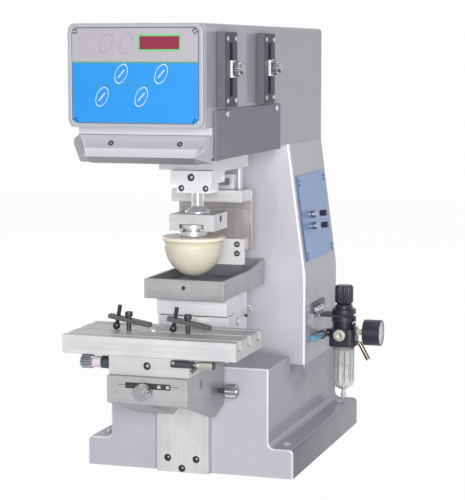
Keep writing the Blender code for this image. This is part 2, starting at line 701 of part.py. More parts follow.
def knurled_knob(bm, base, direction, size, length, teeth=14, edge=KNOB_EDGE):
    """Grooved knob whose two ends are drawn in by the edge."""
    radius = size / 2
    outline = knurled_outline(radius, teeth, size * KNURL_DEPTH_SHARE)
    rings = []
    for along, inset in ((0, edge), (edge, 0), (length - edge, 0), (length, edge)):
        shrink = (radius - inset) / radius
        rings.append([bm.verts.new((point.x * shrink, point.y * shrink, along)) for point in outline])
    loops = []
    for ring in rings:
        loops.append([bm.edges.new((ring[index - 1], ring[index])) for index in range(len(ring))])
    for lower, upper in zip(loops, loops[1:]):
        bmesh.ops.bridge_loops(bm, edges=lower + upper)
    bm.faces.new(rings[0])
    bm.faces.new(rings[-1])
    verts = [vert for ring in rings for vert in ring]
    turn = Vector(direction).to_track_quat("Z", "Y").to_matrix().to_4x4()
    bmesh.ops.transform(bm, matrix=Matrix.Translation(base) @ turn, verts=verts)
    return verts


def swept(bm, path, radii, sides=ROUND_SIDES):
    """Round bar along a path, with one radius for each point."""
    points = [Vector(point) for point in path]
    rings = []
    for index, point in enumerate(points):
        ahead = (points[min(index + 1, len(points) - 1)] - point).normalized()
        behind = (point - points[max(index - 1, 0)]).normalized()
        along = (ahead + behind).normalized()
        side = along.cross(Vector((0, 0, 1)))
        if side.length < 0.1:
            side = along.cross(Vector((0, 1, 0)))
        side.normalize()
        up = side.cross(along)
        stretch = 1
        if ahead.length > 0 and behind.length > 0:
            stretch = 1 / max(along.dot(ahead), 0.5)
        ring = []
        for step in range(sides):
            angle = math.tau * step / sides
            across = side * math.cos(angle) * stretch + up * math.sin(angle)
            ring.append(bm.verts.new(point + radii[index] * across))
        rings.append(ring)
    for lower, upper in zip(rings, rings[1:]):
        for step in range(sides):
            bm.faces.new((lower[step - 1], lower[step], upper[step], upper[step - 1]))
    bm.faces.new(rings[0])
    bm.faces.new(rings[-1])


def counterbore(bm, seat, direction, sizes, rise):
    """Cutter for a socket screw's stepped hole, open along the direction by the rise."""
    head, height, shank, length = sizes
    profile = [(0, -length - GAP), (shank / 2 + GAP, -length - GAP), (shank / 2 + GAP, -GAP)]
    profile += [(head / 2 + GAP, -GAP), (head / 2 + GAP, height + rise), (0, height + rise)]
    turned(bm, profile, seat, direction, SCREW_SIDES)


def pivot(name, place, parent=None):
    """Empty on a moving body's joint axis."""
    empty = bpy.data.objects.new(name, None)
    bpy.context.collection.objects.link(empty)
    empty.location = place
    empty["place"] = place
    if parent is not None:
        empty.parent = parent
        empty.matrix_parent_inverse = Matrix.Translation(-Vector(parent["place"]))
    return empty


def solid(name, bm, material, body=None):
    """Turn a bmesh in world coordinates into a named object that rides on its body's empty."""
    bmesh.ops.recalc_face_normals(bm, faces=bm.faces)
    mesh = bpy.data.meshes.new(name)
    bm.to_mesh(mesh)
    bm.free()
    mesh.shade_smooth()
    mesh.set_sharp_from_angle(angle=math.radians(35))
    obj = bpy.data.objects.new(name, mesh)
    bpy.context.collection.objects.link(obj)
    if material is not None:
        mesh.materials.append(material)
    if body is not None:
        obj.parent = body
        obj.matrix_parent_inverse = Matrix.Translation(-Vector(body["place"]))
    return obj


def shape_with(target, bm, operation):
    """Cut or join a second shape on a piece."""
    count = len(target.modifiers)
    tool = solid(f"tool_{target.name}_{count}", bm, None)
    tool.hide_render = True
    tool.display_type = "WIRE"
    boolean = target.modifiers.new(f"shape_{count}", "BOOLEAN")
    boolean.operation = operation
    boolean.solver = "EXACT"
    boolean.object = tool


def carve(target, bm):
    shape_with(target, bm, "DIFFERENCE")


def weld(target, bm):
    shape_with(target, bm, "UNION")


def bevel_where(bm, width, test, segments=2):
    """Bevel the edges whose two ends both pass the test."""
    edges = [edge for edge in bm.edges if all(test(vert.co) for vert in edge.verts)]
    bmesh.ops.bevel(bm, geom=edges, offset=width, offset_type="OFFSET", affect="EDGES",
                    segments=segments, profile=0.5, material=-1)


def near(a, b):
    return abs(a - b) < GAP / 10


CAST = make_material("cast_silver", (0.56, 0.55, 0.60), 0.45, 0.55)
SHEET = make_material("painted_side", (0.52, 0.51, 0.55), 0.45, 0.45)
MACHINED = make_material("machined_aluminium", (0.72, 0.72, 0.72), 0.30, 0.95)
DARK_METAL = make_material("dark_anodised", (0.13, 0.14, 0.16), 0.45, 0.60)
BLACK_METAL = make_material("black_anodised", (0.03, 0.03, 0.035), 0.40, 0.55)
BLACK_STEEL = make_material("blackened_steel", (0.06, 0.06, 0.06), 0.40, 0.80)
STEEL = make_material("bright_steel", (0.70, 0.70, 0.70), 0.25, 1.00)
CHROME = make_material("chrome", (0.85, 0.85, 0.87), 0.08, 1.00)
BRASS = make_material("brass", (0.78, 0.62, 0.35), 0.30, 1.00)
SILICONE = make_material("silicone", (0.85, 0.80, 0.66), 0.45, 0.00)
PANEL_BLUE = make_material("panel_foil", (0.05, 0.36, 0.85), 0.40, 0.00)
BLUE_METAL = make_material("blue_anodised", (0.25, 0.40, 0.72), 0.35, 0.60)
BLACK_PLASTIC = make_material("black_plastic", (0.02, 0.02, 0.025), 0.40, 0.00)
CLEAR_PLASTIC = make_material("clear_bowl", (0.80, 0.82, 0.80), 0.15, 0.00)


def flare_x(height):
    """Half width of the column's right side along its straight flare."""
    share = (height - FLARE_LOW) / (COLUMN_TOP - FLARE_LOW)
    return BLOCK_WIDTH / 2 + (HEAD_WIDTH - BLOCK_WIDTH) / 2 * share


def flare_normal():
    """Unit vector square to the flared side."""
    run = (BLOCK_WIDTH - HEAD_WIDTH) / 2
    return Vector((COLUMN_TOP - FLARE_LOW, 0, run)).normalized()


def column_corners(bottom, top):
    """Front view of the column between two heights."""
    half = BLOCK_WIDTH / 2
    return [
        (-half, bottom, 0),
        (half, bottom, 0),
        (half, FLARE_LOW, FLARE_RADIUS),
        (HEAD_WIDTH / 2, top, 0),
        (-NECK_LEFT, top, 0),
        (-NECK_LEFT, LEFT_FLARE_TOP, LEFT_FLARE_RADIUS),
        (-half, LEFT_FLARE_LOW, LEFT_FLARE_RADIUS),
    ]


def build_base():
    foot = BASE_WIDTH / 2
    half = BLOCK_WIDTH / 2
    outline = rounded_outline([
        (-foot, 0, 0),
        (foot, 0, 0),
        (foot, FLANGE_HEIGHT, FLANGE_EDGE_RADIUS),
        (half, FLANGE_HEIGHT, FOOT_FILLET),
        (half, BLOCK_HEIGHT, 0),
        (-half, BLOCK_HEIGHT, 0),
        (-half, FLANGE_HEIGHT, FOOT_FILLET),
        (-foot, FLANGE_HEIGHT, FLANGE_EDGE_RADIUS),
    ])
    bm = bmesh.new()
    prism(bm, outline, "Y", BASE_FRONT, BASE_REAR)
    base = solid("base_casting", bm, CAST)

    step = bmesh.new()
    corners = [
        (BLOCK_REAR, BLOCK_HEIGHT + CUT, 0),
        (BLOCK_REAR, SEAT_HEIGHT, CHANNEL_FILLET),
        (BASE_REAR + CUT, SEAT_HEIGHT, 0),
        (BASE_REAR + CUT, BLOCK_HEIGHT + CUT, 0),
    ]
    prism(step, rounded_outline(corners), "X", -foot - CUT, foot + CUT)
    carve(base, step)

    edges = bmesh.new()
    bend = CHANNEL_EDGE * CHANNEL_BEND_SHARE
    for side in (-1, 1):
        corner = plain([
            (side * (half - CHANNEL_EDGE), SEAT_HEIGHT + CUT),
            (side * (half + CUT), SEAT_HEIGHT + CUT),
            (side * (half + CUT), SEAT_HEIGHT - CHANNEL_EDGE),
            (side * half, SEAT_HEIGHT - CHANNEL_EDGE),
            (side * (half - bend), SEAT_HEIGHT - bend),
            (side * (half - CHANNEL_EDGE), SEAT_HEIGHT),
        ])
        prism(edges, rounded_outline(corner), "Y", BLOCK_REAR, COLUMN_FRONT)
    carve(base, edges)

    pockets = bmesh.new()
    inner = half - BASE_WALL
    box(pockets, -inner, inner, BASE_FRONT + BASE_WALL, BLOCK_REAR - BASE_WALL, -CUT, BLOCK_HEIGHT - BASE_WALL)
    box(pockets, -inner, inner, COLUMN_FRONT + BASE_WALL, BASE_REAR - BASE_WALL, -CUT, SEAT_HEIGHT - BASE_WALL)
    carve(base, pockets)

    holes = bmesh.new()
    for bolt_y in FLANGE_BOLT_YS:
        for side in (-1, 1):
            low = (side * FLANGE_BOLT_X, bolt_y, -CUT)
            round_bar(holes, low, (0, 0, 1), FLANGE_HOLE_SIZE, FLANGE_HEIGHT + 2 * CUT)
    carve(base, holes)


def build_column():
    bm = bmesh.new()
    outline = rounded_outline(column_corners(SEAT_HEIGHT + GAP, COLUMN_TOP))
    prism(bm, outline, "Y", COLUMN_FRONT, COLUMN_REAR)
    bevel_where(bm, COLUMN_EDGE_RADIUS, lambda co: near(co.y, COLUMN_FRONT) and co.x > HEAD_WIDTH / 2 - GAP
                and co.z > SEAT_HEIGHT)
    column = solid("column_casting", bm, CAST)

    hollow = bmesh.new()
    half = BLOCK_WIDTH / 2 - COLUMN_WALL
    neck = -NECK_LEFT + COLUMN_WALL
    corners = plain([
        (-half, SEAT_HEIGHT + COLUMN_WALL),
        (half, SEAT_HEIGHT + COLUMN_WALL),
        (half, FLARE_LOW),
        (HEAD_WIDTH / 2 - COLUMN_WALL, COLUMN_TOP - COLUMN_WALL),
        (neck, COLUMN_TOP - COLUMN_WALL),
        (neck, LEFT_FLARE_TOP),
        (-half, LEFT_FLARE_LOW),
    ])
    prism(hollow, rounded_outline(corners), "Y", COLUMN_FRONT + COLUMN_WALL, COLUMN_REAR + CUT)
    carve(column, hollow)


def build_head():
    half = HEAD_WIDTH / 2
    outline = rounded_outline([
        (NOSE_FRONT, HEAD_BOTTOM, 0),
        (COLUMN_REAR, HEAD_BOTTOM, 0),
        (COLUMN_REAR, HEAD_TOP, 0),
        (HOUSING_FRONT, HEAD_TOP, 0),
        (HOUSING_FRONT, PANEL_BOTTOM, 0),
        (NOSE_FRONT, PANEL_BOTTOM, 0),
    ])
    bm = bmesh.new()
    prism(bm, outline, "X", -half, half)
    bevel_where(bm, HEAD_EDGE_RADIUS, lambda co: near(co.z, HEAD_TOP) and abs(co.x) > half - GAP, 3)
    head = solid("head_housing", bm, SHEET)

    rooms = bmesh.new()
    inner = half - HEAD_WALL
    ceiling = HEAD_TOP - HEAD_WALL
    floor = HEAD_BOTTOM + HEAD_WALL
    box(rooms, -inner, inner, HOUSING_FRONT - CUT, FRONT_BULKHEAD, PANEL_BOTTOM + HEAD_WALL, ceiling)
    box(rooms, -inner, inner, FRONT_BULKHEAD + BULKHEAD_THICKNESS, REAR_BULKHEAD, floor, ceiling)
    box(rooms, -inner, inner, REAR_BULKHEAD + BULKHEAD_THICKNESS, COLUMN_REAR + CUT, floor, ceiling)
    carve(head, rooms)

    slot = bmesh.new()
    wide = PLATE_WIDTH / 2 + SLOT_MARGIN
    front = PLATE_FRONT - CARRIAGE_STROKE - SLOT_MARGIN
    box(slot, -wide, wide, front, PLATE_REAR + SLOT_MARGIN, HEAD_BOTTOM - CUT, floor + CUT)
    carve(head, slot)

    bores = bmesh.new()
    length = REAR_BULKHEAD + BULKHEAD_THICKNESS + CUT - FRONT_BULKHEAD
    for side in (-1, 1):
        base = (side * ROD_SPREAD, FRONT_BULKHEAD + ROD_TIP_INSET, ROD_HEIGHT)
        round_bar(bores, base, (0, 1, 0), ROD_SIZE + 2 * GAP, length)
    start = (0, REAR_BULKHEAD - CUT, ROD_HEIGHT)
    round_bar(bores, start, (0, 1, 0), CYLINDER_SIZE + 2 * GAP, BULKHEAD_THICKNESS + 2 * CUT)
    carve(head, bores)


def build_rear_cover():
    half = HEAD_WIDTH / 2
    corners = column_corners(SEAT_HEIGHT + GAP, COLUMN_TOP)
    head_part = [
        (half, HEAD_TOP, HEAD_EDGE_RADIUS),
        (-half, HEAD_TOP, HEAD_EDGE_RADIUS),
        (-half, HEAD_BOTTOM, 0),
        (-NECK_LEFT, HEAD_BOTTOM, 0),
    ]
    corners = corners[:4] + head_part + corners[5:]
    bm = bmesh.new()
    prism(bm, rounded_outline(corners), "Y", COLUMN_REAR + GAP, BASE_REAR)
    solid("rear_cover", bm, SHEET)


def build_panel():
    half = HEAD_WIDTH / 2
    front = PANEL_FRONT
    bm = bmesh.new()
    outline = rounded_outline(rectangle(-half, half, PANEL_BOTTOM, HEAD_TOP, BEZEL_CORNER))
    prism(bm, outline, "Y", front, front + BEZEL_THICKNESS)
    bezel = solid("panel_bezel", bm, MACHINED)
    recess = bmesh.new()
    inner = rectangle(-half + BEZEL_RIM, half - BEZEL_RIM, PANEL_BOTTOM + BEZEL_RIM, HEAD_TOP - BEZEL_RIM,
                      OVERLAY_CORNER)
    prism(recess, rounded_outline(inner), "Y", front - CUT, front + RECESS_DEPTH)
    carve(bezel, recess)

    bm = bmesh.new()
    edge = BEZEL_RIM + GAP
    foil = rectangle(-half + edge, half - edge, PANEL_BOTTOM + edge, HEAD_TOP - edge, OVERLAY_CORNER)
    prism(bm, rounded_outline(foil), "Y", front + GAP, front + RECESS_DEPTH - GAP)
    solid("panel_overlay", bm, PANEL_BLUE)


def build_guard():
    half = HEAD_WIDTH / 2
    outline = rounded_outline(plain([
        (GUARD_STRIP_FRONT, GUARD_TOP),
        (NOSE_FRONT - GAP, GUARD_TOP),
        (NOSE_FRONT - GAP, HEAD_BOTTOM - GAP),
        (GUARD_REAR, HEAD_BOTTOM - GAP),
        (GUARD_REAR, GUARD_BOTTOM),
        (GUARD_FOOT_FRONT, GUARD_BOTTOM),
        (GUARD_LIP_FRONT, GUARD_LIP),
        (GUARD_FACE_FOOT_FRONT, GUARD_FACE_BOTTOM),
        (GUARD_FACE_FRONT, GUARD_STRIP_BOTTOM),
        (GUARD_STRIP_FRONT, GUARD_STRIP_BOTTOM),
    ]))
    bm = bmesh.new()
    prism(bm, outline, "X", -half, half)
    guard = solid("front_guard", bm, MACHINED)
    ends = bmesh.new()
    for side in (-1, 1):
        corner = plain([
            (side * GUARD_END_LOW, GUARD_BOTTOM - CUT),
            (side * GUARD_END_LOW, GUARD_LIP),
            (side * GUARD_END_MID, GUARD_FACE_BOTTOM),
            (side * half, GUARD_STRIP_BOTTOM),
            (side * (half + CUT), GUARD_STRIP_BOTTOM),
            (side * (half + CUT), GUARD_BOTTOM - CUT),
        ])
        prism(ends, rounded_outline(corner), "Y", GUARD_LIP_FRONT - CUT, GUARD_REAR + CUT)
    carve(guard, ends)


def build_side_cover():
    inner = HEAD_WIDTH / 2 + GAP
    bm = bmesh.new()
    box(bm, inner, inner + COVER_THICKNESS, COVER_FRONT, COVER_REAR, COVER_BOTTOM, COVER_TOP)
    solid("side_cover", bm, DARK_METAL)


def build_rails():
    inner = HEAD_WIDTH / 2 + GAP
    outer = inner + RAIL_THICKNESS
    for name, centre in (("front", RAIL_FRONT_CENTRE), ("rear", RAIL_REAR_CENTRE)):
        bm = bmesh.new()
        wide = RAIL_WIDTH / 2
        box(bm, inner, outer, centre - wide, centre + wide, RAIL_BOTTOM, RAIL_TOP)
        rail = solid(f"stroke_rail_{name}", bm, BLACK_METAL)
        slot = bmesh.new()
        wide = RAIL_SLOT_WIDTH / 2
        low, high = RAIL_BOTTOM + RAIL_SLOT_MARGIN, RAIL_TOP - RAIL_SLOT_MARGIN
        box(slot, inner - CUT, outer + CUT, centre - wide, centre + wide, low, high)
        carve(rail, slot)

        body = pivot(f"body_stop_{name}", (outer, centre, STOP_HEIGHT))
        stop = bmesh.new()
        rise = GAP + STOP_PLATE_THICKNESS
        wide, high = STOP_PLATE_WIDTH / 2, STOP_PLATE_HEIGHT / 2
        box(stop, outer + GAP, outer + rise, centre - wide, centre + wide, STOP_HEIGHT - high, STOP_HEIGHT + high)
        pointer = solid(f"stop_pointer_{name}", stop, STEEL, body)
        stud = bmesh.new()
        length = RAIL_THICKNESS + STOP_PLATE_THICKNESS / 2
        round_bar(stud, (inner + GAP, centre, STOP_HEIGHT), (1, 0, 0), STOP_STUD_SIZE, length)
        weld(pointer, stud)
        knob = bmesh.new()
        start = outer + rise + GAP
        knurled_knob(knob, (start, centre, STOP_HEIGHT), (1, 0, 0), STOP_KNOB_SIZE, STOP_KNOB_LENGTH)
        spin = pivot(f"body_stop_knob_{name}", (start, centre, STOP_HEIGHT), body)
        solid(f"stop_knob_{name}", knob, STEEL, spin)


def build_rods_and_cylinder():
    start = FRONT_BULKHEAD + ROD_TIP_INSET + GAP
    end = REAR_BULKHEAD + BULKHEAD_THICKNESS
    for name, side in (("left", -1), ("right", 1)):
        bm = bmesh.new()
        round_bar(bm, (side * ROD_SPREAD, start, ROD_HEIGHT), (0, 1, 0), ROD_SIZE, end - start)
        solid(f"guide_rod_{name}", bm, CHROME)

    outer = CYLINDER_SIZE / 2
    bore = CYLINDER_BORE / 2
    gland = PISTON_ROD_SIZE / 2 + GAP
    length = CYLINDER_REAR - CYLINDER_FRONT
    profile = [(gland, 0), (outer, 0), (outer, length), (0, length), (0, length - CYLINDER_END)]
    profile += [(bore, length - CYLINDER_END), (bore, CYLINDER_END), (gland, CYLINDER_END), (gland, 0)]
    bm = bmesh.new()
    turned(bm, profile, (0, CYLINDER_FRONT, ROD_HEIGHT), (0, 1, 0))
    solid("carriage_cylinder", bm, MACHINED)


def build_carriage(body):
    plate = PLATE_WIDTH / 2
    bearing = BEARING_WIDTH / 2
    outline = rounded_outline(plain([
        (-plate, PLATE_BOTTOM),
        (plate, PLATE_BOTTOM),
        (plate, BEARING_BOTTOM),
        (bearing, BEARING_BOTTOM),
        (bearing, BEARING_TOP),
        (-bearing, BEARING_TOP),
        (-bearing, BEARING_BOTTOM),
        (-plate, BEARING_BOTTOM),
    ]))
    bm = bmesh.new()
    prism(bm, outline, "Y", PLATE_FRONT, PLATE_REAR)
    carriage = solid("carriage_plate", bm, MACHINED, body)
    plate_top = PLATE_BOTTOM + PLATE_THICKNESS
    window = bmesh.new()
    inner = plate - LEG_THICKNESS
    box(window, -inner, inner, PLATE_FRONT - CUT, PLATE_REAR + CUT, plate_top, BEARING_BOTTOM)
    carve(carriage, window)
    bores = bmesh.new()
    length = PLATE_REAR - PLATE_FRONT + 2 * CUT
    for side in (-1, 1):
        base = (side * ROD_SPREAD, PLATE_FRONT - CUT, ROD_HEIGHT)
        round_bar(bores, base, (0, 1, 0), ROD_SIZE + 2 * GAP, length)
    round_bar(bores, (0, RAM_Y, BEARING_BOTTOM - CUT), (0, 0, 1), RAM_CYLINDER_SIZE + 2 * GAP,
              BEARING_TOP - BEARING_BOTTOM + 2 * CUT)
    round_bar(bores, (0, RAM_Y, PLATE_BOTTOM - CUT), (0, 0, 1), PAD_ROD_SIZE + 2 * GAP, PLATE_THICKNESS + 2 * CUT)
    carve(carriage, bores)

    bm = bmesh.new()
    rod = PISTON_ROD_SIZE / 2
    piston = CYLINDER_BORE / 2 - GAP
    start = PLATE_REAR + GAP
    reach = PISTON_REAR - start
    neck = reach - PISTON_THICKNESS
    profile = [(0, 0), (rod, 0), (rod, neck), (piston, neck), (piston, reach), (0, reach)]
    turned(bm, profile, (0, start, ROD_HEIGHT), (0, 1, 0))
    solid("carriage_rod", bm, CHROME, body)

    bm = bmesh.new()
    outer = RAM_CYLINDER_SIZE / 2
    bore = RAM_CYLINDER_BORE / 2
    gland = PAD_ROD_SIZE / 2 + GAP
    base = plate_top + GAP
    length = RAM_CYLINDER_TOP - base
    roof = length - RAM_CYLINDER_END
    profile = [(gland, 0), (outer, 0), (outer, length), (0, length), (0, roof), (bore, roof)]
    profile += [(bore, RAM_CYLINDER_END), (gland, RAM_CYLINDER_END), (gland, 0)]
    turned(bm, profile, (0, RAM_Y, base), (0, 0, 1))
    solid("ram_cylinder", bm, MACHINED, body)

    block_top = PLATE_BOTTOM - GAP
    block_middle = (block_top + RAM_BLOCK_BOTTOM) / 2
    gland_top = RAM_BLOCK_BOTTOM - GAP
    gland_middle = (gland_top + GLAND_BOTTOM) / 2
    block_seat = Vector((0, RAM_BLOCK_FRONT + SCREW_SINK + M6_SIZES[1], block_middle))
    gland_seats = []
    for side in (-1, 1):
        gland_seats.append(Vector((side * GLAND_SCREW_X, GLAND_FRONT + SCREW_SINK + M5_SIZES[1], gland_middle)))
    bm = bmesh.new()
    wide = RAM_BLOCK_WIDTH / 2
    box(bm, -wide, wide, RAM_BLOCK_FRONT, RAM_BLOCK_REAR, RAM_BLOCK_BOTTOM, block_top)
    block = solid("ram_block", bm, MACHINED, body)
    holes = bmesh.new()
    round_bar(holes, (0, RAM_Y, RAM_BLOCK_BOTTOM - CUT), (0, 0, 1), PAD_ROD_SIZE + 2 * GAP,
              block_top - RAM_BLOCK_BOTTOM + 2 * CUT)
    counterbore(holes, block_seat, (0, -1, 0), M6_SIZES, CUT)
    carve(block, holes)

    bm = bmesh.new()
    wide = GLAND_WIDTH / 2
    box(bm, -wide, wide, GLAND_FRONT, GLAND_REAR, GLAND_BOTTOM, gland_top)
    gland = solid("ram_gland", bm, MACHINED, body)
    holes = bmesh.new()
    round_bar(holes, (0, RAM_Y, GLAND_BOTTOM - CUT), (0, 0, 1), PAD_ROD_SIZE + 2 * GAP,
              gland_top - GLAND_BOTTOM + 2 * CUT)
    for seat in gland_seats:
        counterbore(holes, seat, (0, -1, 0), M5_SIZES, CUT)
    carve(gland, holes)


def build_cross_bar(body):
    wide = BAR_WIDTH / 2
    bm = bmesh.new()
    box(bm, -wide, wide, BAR_FRONT, BAR_REAR, BAR_BOTTOM, BAR_TOP)
    bar = solid("blade_cross_bar", bm, MACHINED, body)
    posts = bmesh.new()
    foot = (BAR_BOTTOM + BAR_TOP) / 2
    inner = POST_OUTER - POST_THICKNESS
    for low, high in ((-POST_OUTER, -inner), (inner, POST_OUTER)):
        box(posts, low, high, POST_FRONT, POST_REAR, foot, PLATE_BOTTOM - GAP)
    weld(bar, posts)
    clevis = bmesh.new()
    top = BAR_TOP + CLEVIS_HEIGHT
    arch = plain([
        (CLEVIS_LEFT, foot),
        (CLEVIS_RIGHT, foot),
        (CLEVIS_RIGHT, top),
        (CLEVIS_LEFT, top),
        (CLEVIS_LEFT, top - CLEVIS_WALL),
        (CLEVIS_RIGHT - CLEVIS_WALL, top - CLEVIS_WALL),
        (CLEVIS_RIGHT - CLEVIS_WALL, BAR_TOP + CLEVIS_WALL),
        (CLEVIS_LEFT, BAR_TOP + CLEVIS_WALL),
    ])
    prism(clevis, rounded_outline(arch), "Y", POST_FRONT, POST_REAR)
    weld(bar, clevis)


def build_blade(body):
    wide = ARM_WIDTH / 2
    front = BAR_REAR + GAP
    bm = bmesh.new()
    box(bm, -wide, wide, front, front + ARM_THICKNESS, ARM_BOTTOM, ARM_TOP)
    arm = solid("blade_arm", bm, MACHINED, body)
    recess = bmesh.new()
    inner = wide - ARM_FRAME
    box(recess, -inner, inner, front - CUT, front + ARM_RECESS, ARM_BOTTOM - CUT, ARM_FRAME_TOP)
    carve(arm, recess)

    bm = bmesh.new()
    wide = BLADE_HOLDER_WIDTH / 2
    rear = front + ARM_RECESS - GAP
    box(bm, -wide, wide, rear - BLADE_HOLDER_THICKNESS, rear, BLADE_HOLDER_BOTTOM, BLADE_HOLDER_TOP)
    solid("blade_holder", bm, MACHINED, body)

    bm = bmesh.new()
    wide = BLADE_WIDTH / 2
    top = BLADE_HOLDER_BOTTOM - GAP
    tip = rear
    strip = plain([
        (tip - BLADE_LEAN - BLADE_THICKNESS, top),
        (tip - BLADE_LEAN, top),
        (tip, BLADE_TIP),
        (tip - BLADE_THICKNESS, BLADE_TIP),
    ])
    prism(bm, rounded_outline(strip), "X", -wide, wide)
    solid("doctor_blade", bm, STEEL, body)


def pad_profile():
    """Bowl of a silicone pad from its tip up to its rim and flat top."""
    neck = PAD_NECK_SIZE / 2
    rim = PAD_SIZE / 2
    rise = PAD_BOWL_TOP - PAD_TIP
    points = [(0, PAD_TIP)]
    steps = 8
    for step in range(1, steps + 1):
        angle = math.pi / 2 * step / steps
        points.append((neck * math.sin(angle), PAD_TIP + rise * (1 - math.cos(angle))))
    points += [(rim, PAD_RIM_LOW), (rim, PAD_RIM_HIGH), (rim - PAD_TOP_EDGE, PAD_TOP), (0, PAD_TOP)]
    return points


def build_ram(body):
    bm = bmesh.new()
    rod = PAD_ROD_SIZE / 2
    collar = COLLAR_SIZE / 2
    piston = RAM_CYLINDER_BORE / 2 - GAP
    low = PAD_ROD_PISTON_LOW - COLLAR_BOTTOM
    high = low + PAD_ROD_PISTON_HEIGHT
    profile = [(0, 0), (collar, 0), (collar, COLLAR_RIM), (rod, COLLAR_HEIGHT), (rod, low), (piston, low)]
    profile += [(piston, high), (0, high)]
    turned(bm, profile, (0, RAM_Y, COLLAR_BOTTOM), (0, 0, 1))
    solid("pad_rod", bm, CHROME, body)

    wide = HOLDER_WIDTH / 2
    throat = HOLDER_SLOT_THROAT / 2
    slot = HOLDER_SLOT_WIDTH / 2
    lip = HOLDER_BOTTOM + HOLDER_LIP
    outline = rounded_outline(plain([
        (-wide, HOLDER_BOTTOM),
        (-throat, HOLDER_BOTTOM),
        (-throat, lip),
        (-slot, lip),
        (-slot, HOLDER_SLOT_TOP),
        (slot, HOLDER_SLOT_TOP),
        (slot, lip),
        (throat, lip),
        (throat, HOLDER_BOTTOM),
        (wide, HOLDER_BOTTOM),
        (wide, HOLDER_TOP),
        (-wide, HOLDER_TOP),
    ]))
    bm = bmesh.new()
    prism(bm, outline, "Y", HOLDER_FRONT, HOLDER_REAR)
    holder = solid("pad_holder", bm, MACHINED, body)
    hole = bmesh.new()
    seat = (wide - SCREW_SINK - M6_SIZES[1], HOLDER_SCREW_Y, HOLDER_SCREW_Z)
    counterbore(hole, seat, (1, 0, 0), M6_SIZES, CUT)
    carve(holder, hole)

    bm = bmesh.new()
    plate_top = HOLDER_BOTTOM - GAP
    base = plate_top - PAD_BASE_THICKNESS
    disc = PAD_BASE_SIZE / 2
    profile = [(0, 0), (disc, 0), (disc, plate_top - base), (throat - GAP, plate_top - base)]
    profile += [(throat - GAP, lip + GAP - base), (slot - GAP, lip + GAP - base)]
    profile += [(slot - GAP, HOLDER_SLOT_TOP - GAP - base), (0, HOLDER_SLOT_TOP - GAP - base)]
    turned(bm, profile, (0, PAD_Y, base), (0, 0, 1), 24)
    solid("pad_base", bm, CHROME, body)

    bm = bmesh.new()
    turned(bm, pad_profile(), (0, PAD_Y, 0), (0, 0, 1), FINE_SIDES)
    solid("silicone_pad", bm, SILICONE, body)


def build_tray():
    wide = TRAY_WIDTH / 2
    outline = rounded_outline(plain([
        (TRAY_FRONT, TRAY_BOTTOM),
        (TRAY_REAR, TRAY_BOTTOM),
        (TRAY_REAR, TRAY_REAR_RIM),
        (TRAY_KINK, TRAY_RIM),
        (TRAY_FRONT, TRAY_RIM),
    ]))
    bm = bmesh.new()
    prism(bm, outline, "X", -wide, wide)
    tray = solid("ink_tray", bm, MACHINED)
    hollow = bmesh.new()
    inner = wide - TRAY_WALL
    front, rear = TRAY_FRONT + TRAY_WALL, TRAY_REAR - TRAY_WALL
    floor = TRAY_BOTTOM + TRAY_FLOOR
    box(hollow, -inner, inner, front, rear, floor, TRAY_REAR_RIM + CUT)
    carve(tray, hollow)

    bm = bmesh.new()
    box(bm, -inner + GAP, inner - GAP, front + GAP, rear - GAP, floor + GAP, ETCHED_TOP)
    solid("etched_plate", bm, STEEL)

    top = TRAY_BOTTOM - GAP
    lower = SUPPORT_FRONT + SUPPORT_STEP
    outline = rounded_outline([
        (lower, BLOCK_HEIGHT + GAP, 0),
        (BLOCK_REAR, BLOCK_HEIGHT + GAP, 0),
        (BLOCK_REAR, top, 0),
        (SUPPORT_FRONT, top, SUPPORT_NOSE_RADIUS),
        (SUPPORT_FRONT, SUPPORT_NOSE_LOW, 0),
        (lower, SUPPORT_NOSE_LOW, 0),
    ])
    bm = bmesh.new()
    prism(bm, outline, "X", -SUPPORT_WIDTH / 2, SUPPORT_WIDTH / 2)
    solid("tray_support", bm, MACHINED)


def guide_screw_seats():
    seat_y = GUIDE_FRONT + SCREW_SINK + M6_SIZES[1]
    places = [(GUIDE_LOW_SCREW_X, GUIDE_LOW_SCREW_Z)]
    places += [(GUIDE_LOW_SCREW_X + side * GUIDE_SCREW_SPREAD, GUIDE_SCREW_Z) for side in (-1, 1)]
    return [Vector((x, seat_y, z)) for x, z in places]


def guide_edges():
    return GUIDE_CENTRE_X - GUIDE_WIDTH / 2, GUIDE_CENTRE_X + GUIDE_WIDTH / 2


def build_guide_plate():
    left, right = guide_edges()
    bm = bmesh.new()
    box(bm, left, right, GUIDE_FRONT, BASE_FRONT - GAP, GUIDE_BOTTOM, GUIDE_TOP)
    plate = solid("guide_plate", bm, MACHINED)
    holes = bmesh.new()
    for seat in guide_screw_seats():
        counterbore(holes, seat, (0, -1, 0), M6_SIZES, CUT)
    carve(plate, holes)


